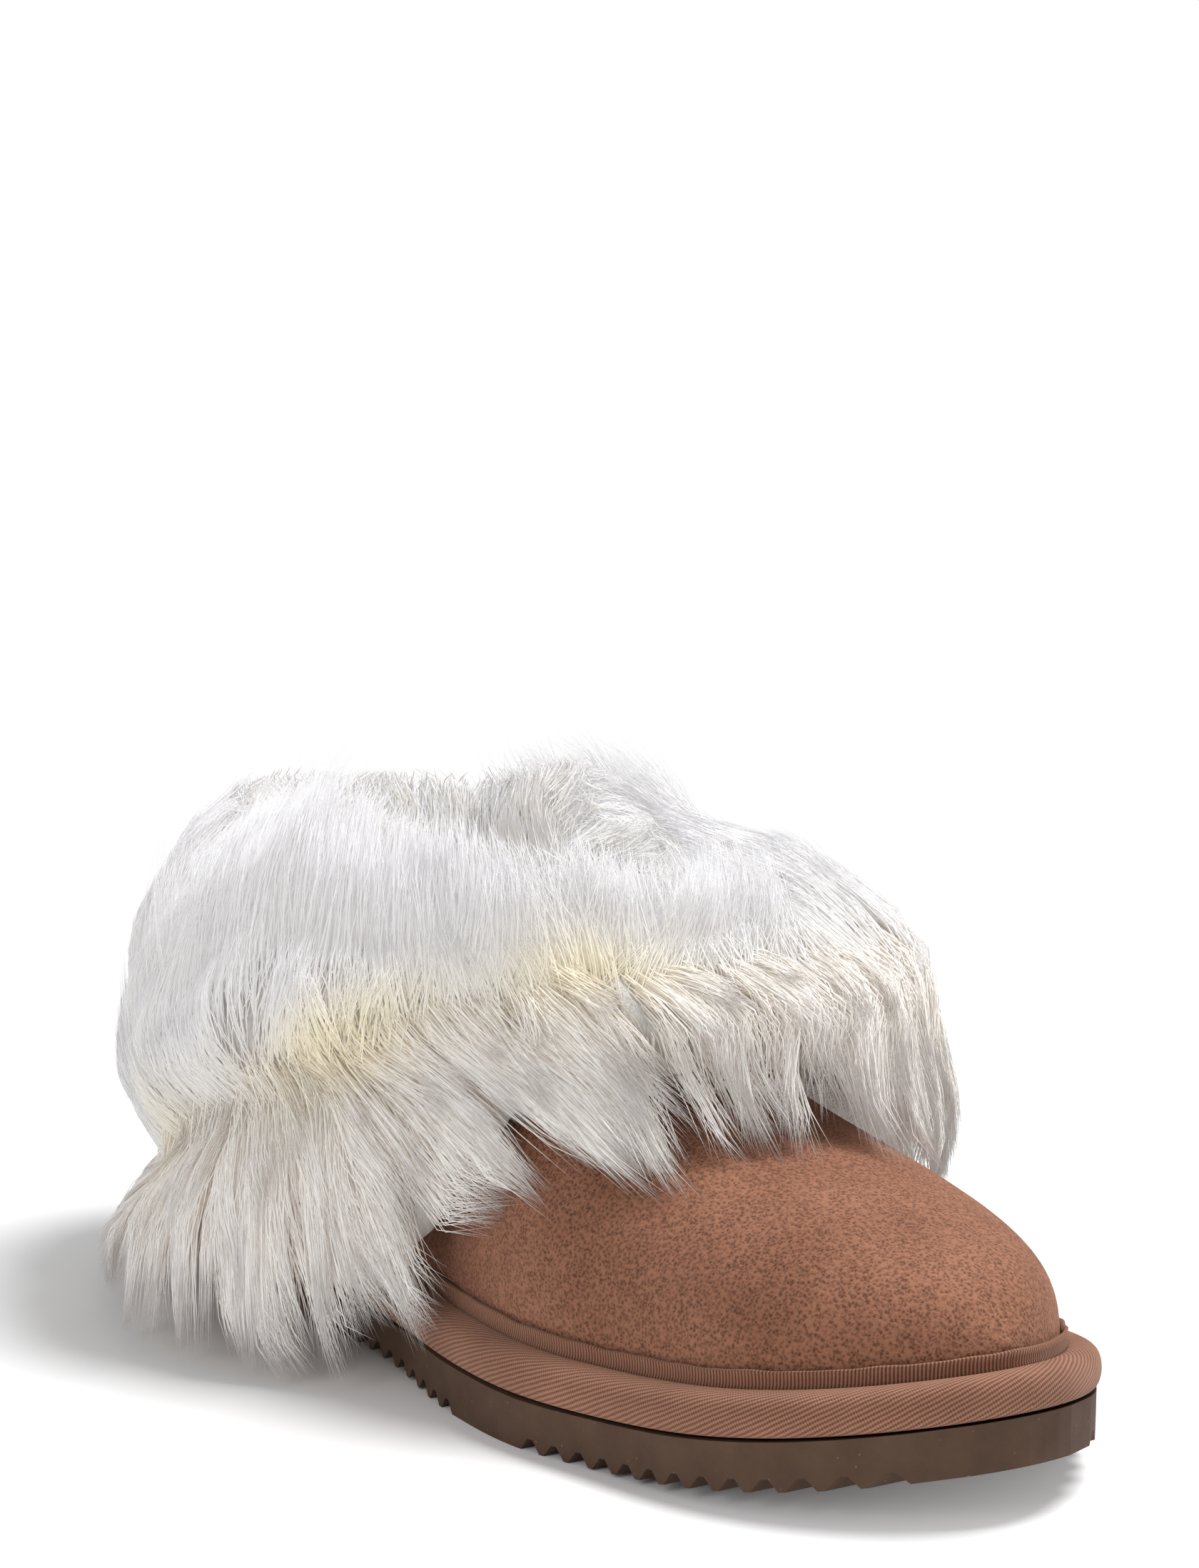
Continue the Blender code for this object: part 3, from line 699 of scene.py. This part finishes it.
def grow(locks, hairs, turn, start, end, sweep, wide, thick, close, lift, loose, contrast):
    """Hairs for a set of locks. Arrays are over the locks; wide, thick and lift are in millimetres."""
    count = locks * hairs
    each = lambda values: np.repeat(np.broadcast_to(values, locks), hairs)
    tone = 0.5 * dice.uniform(0, 1, count) + 0.5 * each(dice.uniform(0, 1, locks))
    spot = np.clip(dice.normal(0, 0.5, count), -1.15, 1.15)
    level = dice.uniform(0, 1, count)
    # under is how low a hair lies in its lock, most at the lock's edges: it sets the hair's layer, and
    # through depth its painted shade.
    under = np.clip(spot**2 * 0.8 + level * 0.6, 0, 1)
    lengths = 1 - dice.uniform(0, 0.30, count) ** 1.3 - 0.10 * spot**2
    starts = each(start) + dice.normal(0, 5, count)
    return {
        "turn": each(turn),
        "start": starts,
        "end": starts + (each(end) - starts) * lengths,
        "across": each(wide) * spot * MM / 2,
        "over": dice.normal(0, 2.5, count),
        "sweep": each(sweep) + dice.normal(0, 0.8, count),
        "close": np.clip(each(close) + dice.normal(0, 0.06, count), 0, 0.98),
        "late": dice.uniform(1.3, 2.0, count),
        "stray": dice.normal(0, loose * MM, count),
        "curl": dice.normal(0, 0.35, count),
        "phase": dice.uniform(0, 6.28, count),
        "root": dice.uniform(5, 9, count) * MM,
        "layer": each(thick) * under * MM,
        "lift": each(lift) * dice.uniform(0.4, 1.3, count) * MM,
        "tone": 1 - contrast * tone,
        # Painted shade: depth darkens hairs at a lock's edges and low in their lock, where shade falls;
        # contrast scales it together with the random tone.
        "depth": contrast * under,
    }


def place_fur(name, fan, hair, thick, finish):
    """One piece of fur from a set of hairs, whose thickness is in millimetres."""
    count = len(hair["turn"])
    widths = thick * MM * dice.uniform(0.7, 1.2, count)
    paths, cream = run_hairs(fan, hair)
    # The depth mark carries the painted shade into the hair finish.
    marks = {"tone": hair["tone"], "depth": hair["depth"], "cream": cream}
    return hair_piece(name, paths, widths, marks, finish)


def spread(locks, seed):
    """Turns spaced evenly with some play."""
    return (360 * (np.arange(locks) + 0.37 * seed + dice.uniform(-0.35, 0.35, locks)) / locks) % 360


# %% [markdown]
# Below the parting the locks are long and pointed. Over the instep they sweep towards the toe. They are
# laid in rows from the hem up, each row over the roots of the one below, and the corner where the hem
# turns up over the instep gets rows of its own, so that no gap opens between locks that part there.

# %% Falling locks
SWEEP_TURNS = (0, 20, 45, 75, 100, 180, 255, 270, 285, 300, 320, 340, 360)
SWEEPS = (0, -7, -18, -20, -6, 0, 0, 4, 14, 26, 19, 7, 0)


def falling_locks(locks, hairs, seed, low, high, narrow, broad, turn=None, lean=1.0):
    """Locks that end between two shares of the way from parting to hem; widths in millimetres."""
    turn = spread(locks, seed) if turn is None else turn
    share = dice.uniform(low, high, locks)
    sweep = np.interp(turn, SWEEP_TURNS, SWEEPS) * (0.35 + 0.65 * share) * lean
    sweep = sweep + dice.normal(0, 2.5, locks)
    hem = at(PART_LINE, "hem", turn + sweep)
    top = parting(turn)
    end = top + (hem - 2 - top) * share
    start = np.minimum(end + dice.uniform(50, 70, locks), top + 8.0)
    wide = dice.uniform(narrow, broad, locks)
    lift = dice.uniform(-0.2, 2.6, locks)
    return grow(locks, hairs, turn, start, end, sweep, wide, 4.5, 0.92, lift, 0.7, 1.0)


low_row = falling_locks(58, 96, 0, 1.00, 1.18, 9, 14)
corner = falling_locks(20, 64, 0, 0.92, 1.15, 8, 12, np.linspace(264, 300, 20), 0.3)
strands = falling_locks(60, 22, 1, 0.75, 1.20, 3, 6)
bend_row = falling_locks(9, 50, 0, 1.00, 1.15, 8, 12, np.linspace(286, 306, 9), 0.6)
place_fur("fur_falling_1", PART_LINE, join_hairs(low_row, corner, bend_row, strands), 0.36, HAIR)
instep = falling_locks(18, 60, 4, 0.86, 1.12, 8, 13, np.linspace(318, 380, 18))
middle_row = falling_locks(52, 96, 2, 0.60, 0.88, 9, 14)
top_row = falling_locks(46, 60, 3, 0.28, 0.58, 8, 12)
place_fur("fur_falling_2", PART_LINE, join_hairs(middle_row, top_row, instep), 0.36, HAIR)

# %% [markdown]
# Above the parting the hair is softer: wide, shallow locks that stand up and lean out. The last rows
# stand clear of the crest, so that its edge ends in a fringe.


# %% Rising locks
def rising_locks(locks, hairs, seed, first, last, least, most, low, high, turn=None):
    """Soft locks that start between two directions and run least to most degrees on."""
    turn = spread(locks, seed) if turn is None else turn
    start = np.maximum(dice.uniform(first, last, locks), parting(turn) - 6)
    end = start + dice.uniform(least, most, locks)
    sweep = 6 * np.sin(np.radians(turn + 20)) + dice.normal(0, 3.5, locks)
    wide = dice.uniform(14, 24, locks)
    lifts = dice.uniform(low, high, locks)
    return grow(locks, hairs, turn, start, end, sweep, wide, 2.0, 0.3, lifts, 1.2, 0.24)


place_fur("fur_rising_1", PART_LINE, join_hairs(
    rising_locks(60, 56, 1, -8, 20, 30, 44, 0.2, 1.5),
    rising_locks(80, 64, 2, 15, 55, 26, 40, 0.2, 2.4),
), 0.34, SOFT_HAIR)
place_fur("fur_rising_2", PART_LINE, join_hairs(
    rising_locks(64, 56, 3, 46, 66, 22, 36, 0.2, 2.4),
    rising_locks(60, 44, 5, 62, 86, 24, 40, 0.2, 2.5),
), 0.34, SOFT_HAIR)
place_fur("fur_crest", PART_LINE, join_hairs(
    rising_locks(38, 70, 6, 40, 62, 26, 40, 7, 12, np.linspace(250, 368, 38)),
    rising_locks(38, 54, 7, 52, 72, 18, 30, 8, 12.5, np.linspace(252, 366, 38)),
    rising_locks(14, 50, 8, 50, 66, 22, 36, 6, 9.5, np.linspace(82, 136, 14)),
), 0.34, SOFT_HAIR)

# %% [markdown]
# Inside the collar shorter hair stands on the wall, up to the crest. That wall is measured from the
# opening's middle axis outwards.


# %% Line the inside
INSIDE = tree_of("upper", "fur_collar")
FIRST_LINING = 24 * MM
LINING_HEIGHTS = np.arange(FIRST_LINING, 0.122, WALL_STEP)
LINING_DROP = 62 * MM
LINING_OVER = 2.5 * MM
LINING_POINTS = 4


def lining_at(turn):
    """The inner wall's radius at each height, kept up where the wall has ended."""
    radii, top = [], FIRST_LINING
    for height in LINING_HEIGHTS:
        hit = INSIDE.ray_cast(Vector((MIDDLE, 0, height)), outwards(turn))[0]
        if hit is not None:
            top = height
        radii.append(math.hypot(hit.x - MIDDLE, hit.y) if hit is not None else radii[-1])
    return radii, top


LINING = [lining_at(turn) for turn in TURNS]
LINING_WALL = soften(np.array([radii for radii, top in LINING]), 3)
LINING_TOP = soften(np.array([[top] for radii, top in LINING]), 1)[:, 0]
print("the lining rises to", (LINING_TOP.max() * 1000).round(1), "mm")


def line_inside(name, count, thick):
    """Hairs on the inner wall, more of them towards the crest, whose tips lean into the opening."""
    turn = dice.uniform(0, 360, count)
    top = np.interp(turn, TURNS, LINING_TOP, period=360)
    low = np.maximum(top - LINING_DROP, FIRST_LINING)
    start = low + (top - low) * dice.uniform(0, 1, count) ** 0.8
    run = np.minimum(dice.uniform(9, 19, count) * MM, top + LINING_OVER - start)
    t = np.linspace(0, 1, LINING_POINTS)[None, :]
    wave = 3 * np.sin(np.radians(turn) * 9 + 2) + dice.normal(0, 2.5, count)
    turns = turn[:, None] + wave[:, None] * t**1.3
    height = start[:, None] + run[:, None] * t
    wall = read(LINING_WALL, turns, np.minimum(height, top[:, None]), FIRST_LINING, WALL_STEP)
    lean = dice.uniform(0.5, 4.5, count)[:, None] * MM * t**1.2
    radius = wall + 2 * MM * (1 - t) ** 2 - lean
    # The lining's depth marks are random tone; its soft hair finish adds a painted glow.
    marks = {
        "tone": dice.uniform(0.4, 1, count),
        "depth": np.clip(dice.uniform(-0.2, 0.5, count), 0, 1),
        "cream": 0.35 * (1 - t) * np.ones((count, 1)),
    }
    widths = thick * MM * dice.uniform(0.7, 1.2, count)
    return hair_piece(name, to_space(turns, radius, height), widths, marks, SOFT_HAIR)


line_inside("fur_lining", 3400, 0.4)

# %% [markdown]
# ## Welt tape
# The welt is a soft core wrapped in twill tape. Its diagonal ribs have to follow the tape round the toe,
# so the copy gets a UV map: u runs along the welt in metres, and v runs over its rounded face.


# %% Unroll the welt along its length
def loop_round(tree, centre, height_at, count):
    """Points on a solid's outer face all the way round, evenly spaced."""
    found = []
    for angle in np.linspace(0, 2 * math.pi, 4 * count, endpoint=False):
        away = Vector((math.cos(angle), math.sin(angle), 0))
        start = Vector((centre, 0, 0)) + away * FAR
        start.z = height_at(centre, away)
        hit = tree.ray_cast(start, -away, FAR)[0]
        if hit is not None:
            found.append(hit)
    found = np.array(found)
    steps = np.linalg.norm(np.roll(found, -1, 0) - found, axis=1)
    places = np.concatenate([[0], np.cumsum(steps)])
    closed = np.vstack([found, found[:1]])
    even = np.linspace(0, places[-1], count, endpoint=False)
    loop = np.stack([np.interp(even, places, closed[:, i]) for i in range(3)], axis=1)
    return soften(loop, 12), places[-1]


SHOE_MIDDLE = 0.09
WELT_MIDDLE = 15 * MM
WELT_TOP = 22 * MM
FIRST_TRY = 30 * MM
TAPE_RADIUS = 5 * MM
SPRING_START = 0.142
SPRING_RISE = 0.0117
SPRING_RUN = 0.089


def spring(x):
    """How far the sole has left the floor at x, as in the CAD model."""
    return SPRING_RISE * np.clip((x - SPRING_START) / SPRING_RUN, 0, None) ** 2


def spring_along(centre, away):
    """The spring where a direction leaves the shoe."""
    x = UPPER.ray_cast(Vector((centre, 0, FIRST_TRY)) + away * FAR, -away, FAR)[0].x
    for _ in range(3):
        hit = UPPER.ray_cast(Vector((centre, 0, WELT_TOP + spring(x))) + away * FAR, -away, FAR)[0]
        x = hit.x
    return float(spring(x))


def welt_height(centre, away):
    """The height of the welt's middle out along a direction."""
    return WELT_MIDDLE + spring_along(centre, away)


WELT = tree_of("welt_tape")
welt_loop, welt_length = loop_round(WELT, SHOE_MIDDLE, welt_height, 600)
print("the welt is", round(welt_length, 3), "m round")


def unroll(piece, loop, length, centre_height, inset):
    """Writes the UV map: u along the loop and v round the section, both in metres."""
    mesh = piece.data
    corners = np.zeros(len(mesh.vertices) * 3)
    mesh.vertices.foreach_get("co", corners)
    corners = corners.reshape(-1, 3)
    flat = loop[:, :2]
    nearest = np.concatenate([
        ((part[:, None, :2] - flat[None]) ** 2).sum(2).argmin(1) for part in np.array_split(corners, 60)
    ])
    tangent = np.roll(flat, -1, 0) - np.roll(flat, 1, 0)
    tangent /= np.linalg.norm(tangent, axis=1)[:, None]
    outward = np.stack([tangent[:, 1], -tangent[:, 0]], axis=1)
    offset = corners[:, :2] - flat[nearest]
    u = nearest * length / len(loop) + (offset * tangent[nearest]).sum(1)
    out = (offset * outward[nearest]).sum(1) + inset
    v = np.arctan2(corners[:, 2] - centre_height - spring(corners[:, 0]), out) * inset
    index = np.zeros(len(mesh.loops), int)
    mesh.loops.foreach_get("vertex_index", index)
    sizes = np.zeros(len(mesh.polygons), int)
    mesh.polygons.foreach_get("loop_total", sizes)
    face = np.repeat(np.arange(len(sizes)), sizes)
    for values, whole in ((u, length), (v, 2 * math.pi * inset)):
        high = np.full(len(sizes), -1e9)
        np.maximum.at(high, face, values[index])
        corner = values[index]
        corner = np.where(high[face] - corner > whole / 2, corner + whole, corner)
        yield corner


def write_map(piece, *columns):
    layer = piece.data.uv_layers.new(name="run")
    layer.data.foreach_set("uv", np.stack(columns, axis=1).astype(np.float32).ravel())


# %% Make the twill
def twill_finish():
    """Steep diagonal ribs of a rosy tan, on yarns that cross them."""
    finish, shader, place = new_finish("twill", 0.85, 0.3, (0.9, 0.65, 0.5))
    reader = place.node("UVMap", {"uv_map": "run"})
    run = Socket(place.tree, reader.outputs[0])
    parts = place.node("SeparateXYZ", Vector=run)
    u, v = Socket(place.tree, parts.outputs[0]), Socket(place.tree, parts.outputs[1])
    sway = noise(run, 6 * MM, 2) * 0.5
    ribs = (((v - u * 0.42) / (1.05 * MM) + sway) * (2 * math.pi)).sine() * 0.5 + 0.5
    yarns = (((u + v * 0.5) / (0.62 * MM) + sway) * (2 * math.pi)).sine() * 0.5 + 0.5
    fuzz = noise(place, 0.35 * MM, 2)
    height = ribs * 0.55 + yarns * 0.25 + fuzz * 0.3
    clouds = noise(place, 14 * MM, 2)
    low = ramp(clouds, (0.3, (0.105, 0.040, 0.022)), (0.7, (0.140, 0.055, 0.031)))
    high = ramp(clouds, (0.3, (0.330, 0.155, 0.098)), (0.7, (0.410, 0.200, 0.130)))
    join(place.tree, blend(ramp(height, (0.22, 0.0), (0.85, 1.0)), low, high), shader.inputs["Base Color"])
    raise_bump(shader, height, 0.35 * MM, 0.8)
    return finish


welt = smooth_copy("welt_tape", "welt_twill", 2)
write_map(welt, *unroll(welt, welt_loop, welt_length, WELT_MIDDLE, TAPE_RADIUS))
welt.data.materials.append(twill_finish())
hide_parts("welt_tape")
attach(welt, "root")
print(welt.name, triangles(welt), "triangles")

# %% [markdown]
# A narrow ribbed edge of the tape stands up against the suede all the way round. It starts as a circle
# primitive whose points are laid on the upper's wall, is extruded upwards, and gets its thickness last.


# %% Make the ribbed edge
EDGE_MIDDLE = 20.5 * MM
EDGE_POINTS = 720
EDGE_ROWS = ((-1.6, 1.3), (-0.2, 0.75), (1.2, 0.75), (2.6, 1.0))
EDGE_WAVES = ((41, 0, 0.35), (67, 1, 0.25), (23, 2, 0.4))
EDGE_THICKNESS = 0.7 * MM


def edge_height(centre, away):
    return EDGE_MIDDLE + spring_along(centre, away)


def make_edge():
    """The edge as one band: each row of points is a height and a gap from the wall, in millimetres."""
    count = EDGE_POINTS
    loop, length = loop_round(UPPER, SHOE_MIDDLE, edge_height, count)
    tangent = np.roll(loop, -1, 0) - np.roll(loop, 1, 0)
    tangent /= np.linalg.norm(tangent, axis=1)[:, None]
    outward = np.stack([tangent[:, 1], -tangent[:, 0], np.zeros(count)], axis=1)
    bpy.ops.object.select_all(action="DESELECT")
    bpy.ops.mesh.primitive_circle_add(vertices=count, radius=0.1)
    piece = bpy.context.object
    piece.name = "welt_ribbed_edge"
    bpy.ops.object.mode_set(mode="EDIT")
    for _ in range(3):
        bpy.ops.mesh.select_all(action="DESELECT")
        shape = bmesh.from_edit_mesh(piece.data)
        shape.verts.ensure_lookup_table()
        for corner in shape.verts[-count:]:
            corner.select = True
        shape.select_flush(True)
        bmesh.update_edit_mesh(piece.data)
        bpy.ops.mesh.extrude_edges_move(TRANSFORM_OT_translate={"value": (0, 0, MM)})
    bpy.ops.object.mode_set(mode="OBJECT")
    run = np.linspace(0, 1, count, endpoint=False) * 2 * math.pi
    wave = sum(size * np.sin(run * times + shift) for times, shift, size in EDGE_WAVES)
    order = np.arange(4 * count).reshape(4, count)
    corners = np.zeros((4 * count, 3))
    for row, (up, out) in enumerate(EDGE_ROWS):
        lift = up + 0.25 * wave * row / 3
        stand = out + 0.18 * (1 + wave) * row / 3
        corners[order[row]] = loop + outward * stand[:, None] * MM + np.array([0, 0, 1]) * lift[:, None] * MM
    piece.data.vertices.foreach_set("co", corners.ravel())
    return piece, loop, length


edge, edge_loop, edge_length = make_edge()
edge_wall = edge.modifiers.new("thickness", "SOLIDIFY")
edge_wall.thickness = EDGE_THICKNESS
edge_wall.offset = 0
bpy.ops.object.modifier_apply(modifier=edge_wall.name)
bpy.ops.object.mode_set(mode="EDIT")
bpy.ops.mesh.select_all(action="SELECT")
bpy.ops.mesh.normals_make_consistent(inside=False)
bpy.ops.object.mode_set(mode="OBJECT")
bpy.ops.object.shade_smooth()
write_map(edge, *unroll(edge, edge_loop, edge_length, EDGE_MIDDLE, TAPE_RADIUS))


def ribbed_finish():
    finish, shader, place = new_finish("ribbed_edge", 0.85, 0.3, (0.9, 0.65, 0.5))
    run = Socket(place.tree, place.node("UVMap", {"uv_map": "run"}).outputs[0])
    u = Socket(place.tree, place.node("SeparateXYZ", Vector=run).outputs[0])
    ribs = ((u / (0.75 * MM) + noise(run, 8 * MM, 1) * 0.6) * (2 * math.pi)).sine() * 0.5 + 0.5
    height = ribs * 0.75 + noise(place, 0.3 * MM, 2) * 0.35
    color = ramp(height, (0.15, (0.085, 0.032, 0.018)), (0.85, (0.36, 0.165, 0.102)))
    join(place.tree, color, shader.inputs["Base Color"])
    raise_bump(shader, height, 0.3 * MM, 0.8)
    return finish


edge.data.materials.append(ribbed_finish())
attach(edge, "root")
print(edge.name, triangles(edge), "triangles")

# %% [markdown]
# ## Outsole
# The sole is moulded foam: matt, with a fine skin and a few pale specks. The CAD solid has its ground
# edge and lugs, so it stays and only gets the finish.


# %% Make the foam
def foam_finish():
    finish, shader, place = new_finish("foam", 0.72)
    mottle = noise(place, 9 * MM, 3)
    skin = noise(place, 0.5 * MM, 3)
    specks = ramp(cells(place, 2.6 * MM), (0.05, 1.0), (0.10, 0.0))
    color = ramp(mottle, (0.3, (0.078, 0.043, 0.027)), (0.7, (0.104, 0.060, 0.038)))
    color = blend(specks * 0.35, color, (0.36, 0.27, 0.21))
    join(place.tree, color, shader.inputs["Base Color"])
    join(place.tree, 0.62 + skin * 0.25, shader.inputs["Roughness"])
    raise_bump(shader, skin, 0.08 * MM, 0.7)
    return finish


SOLIDS["outsole"].data.materials.clear()
SOLIDS["outsole"].data.materials.append(foam_finish())

# %% [markdown]
# ## Footbed
# The footbed has the same pile as the upper's inside. It is a smooth copy of its solid, with a crop of
# short hairs standing on the part that the opening shows.


# %% Cover the footbed with pile
footbed = smooth_copy("insole", "footbed", 1)
footbed.data.materials.append(LINING_PILE)
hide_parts("insole")
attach(footbed, "root")
# The pile hair has painted light: a glow of 0.16 in its own colour, though it is no lamp.
PILE = hair_finish("pile_hair", (0.80, 0.76, 0.68), (0.88, 0.85, 0.80), (0.80, 0.72, 0.55),
                   (0.8, 0.76, 0.7), 0.7, 0.16)


def footbed_pile(count):
    """Short hairs over the part of the footbed that the opening shows."""
    tree = tree_of("insole")
    roots, tips = [], []
    while len(roots) < count:
        x, y = dice.uniform(-0.026, 0.150), dice.uniform(-0.034, 0.034)
        hit, normal, _, _ = tree.ray_cast(Vector((x, y, FAR)), Vector((0, 0, -1)))
        if hit is not None and normal.z > 0.5:
            lean = Vector((*dice.normal(0, 0.45, 2), 1)).normalized()
            roots.append(hit - Vector((0, 0, 0.3 * MM)))
            tips.append(hit + lean * dice.uniform(4, 7) * MM)
    return np.array(roots), np.array(tips)


def bend(roots, tips):
    """Short hairs from root to tip, each bowed a little."""
    t = np.linspace(0, 1, LINING_POINTS)[None, :, None]
    bow = dice.normal(0, 0.9 * MM, (len(roots), 1, 3))
    return roots[:, None] * (1 - t) + tips[:, None] * t + bow * np.sin(math.pi * t * 0.7)


def pile_piece(name, roots, tips):
    widths = 0.4 * MM * dice.uniform(0.8, 1.2, len(roots))
    marks = {label: dice.uniform(0, 1, len(roots)) for label in ("tone", "depth", "cream")}
    hair_piece(name, bend(roots, tips), widths, marks, PILE)


pile_piece("footbed_pile", *footbed_pile(1300))

# %% [markdown]
# ## Floor and light
# The slipper stands on a plain white floor in a bright, even studio. Near the slipper the floor takes its
# soft shadow. Further off it shines by itself, so that it runs into the white surround with no horizon.


# %% Make the floor and the lights
SHADOW_MIDDLE = (0.02, -0.03, 0.0)
SHINES_FROM = 0.15
SHINES_FULLY = 0.33
SURROUND_LIGHT = 0.40
OVERHEAD_PLACE = (0.30, 0.45, 1.15)
FRONT_PLACE = (0.5, -1.4, 0.8)
AIM = Vector((0.08, 0, 0.05))


def make_floor():
    bpy.ops.object.select_all(action="DESELECT")
    bpy.ops.mesh.primitive_circle_add(vertices=96, radius=6, fill_type="NGON")
    floor = bpy.context.object
    floor.name = "floor"
    finish, shader, place = new_finish("floor", 0.9)
    tree = place.tree
    shader.inputs["Base Color"].default_value = (0.98, 0.98, 0.985, 1)
    beside = place.node("VectorMath", {"operation": "SUBTRACT"}, _0=place, _1=SHADOW_MIDDLE)
    away = place.node("VectorMath", {"operation": "LENGTH"}, _0=Socket(tree, beside.outputs[0]))
    share = ramp(Socket(tree, away.outputs["Value"]), (SHINES_FROM, 0.0), (SHINES_FULLY, 1.0))
    glow = tree.nodes.new("ShaderNodeEmission")
    glow.inputs["Strength"].default_value = 1.0
    mixed = tree.nodes.new("ShaderNodeMixShader")
    tree.links.new(share.output, mixed.inputs[0])
    tree.links.new(shader.outputs[0], mixed.inputs[1])
    tree.links.new(glow.outputs[0], mixed.inputs[2])
    tree.links.new(mixed.outputs[0], tree.nodes["Material Output"].inputs["Surface"])
    floor.data.materials.append(finish)
    floor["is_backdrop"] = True


def area_light(name, place, size, power):
    data = bpy.data.lights.new(name, "AREA")
    data.shape = "DISK"
    data.size = size
    data.energy = power
    lamp = bpy.data.objects.new(name, data)
    bpy.context.scene.collection.objects.link(lamp)
    lamp.location = place
    lamp.rotation_euler = (AIM - Vector(place)).to_track_quat("-Z", "Y").to_euler()


def light_the_room():
    """A surround that looks white and lights a little less than it looks."""
    world = bpy.data.worlds.new("studio")
    world.use_nodes = True
    tree = world.node_tree
    surround = tree.nodes["Background"]
    surround.inputs["Color"].default_value = (1, 1, 1, 1)
    seen = Socket(tree, tree.nodes.new("ShaderNodeLightPath").outputs["Is Camera Ray"])
    join(tree, seen * (1 - SURROUND_LIGHT) + SURROUND_LIGHT, surround.inputs["Strength"])
    bpy.context.scene.world = world
    bpy.context.scene.view_settings.view_transform = "Standard"
    area_light("overhead", OVERHEAD_PLACE, 0.6, 17.5)
    area_light("front", FRONT_PLACE, 0.8, 6)


make_floor()
light_the_room()

# %% Measure the visual box
own_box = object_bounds()
boxes = [[[float(c) for c in corner] for corner in box] for box in (CAD_BOX, own_box)]
print("visual box", [[round(c, 4) for c in corner] for corner in own_box])
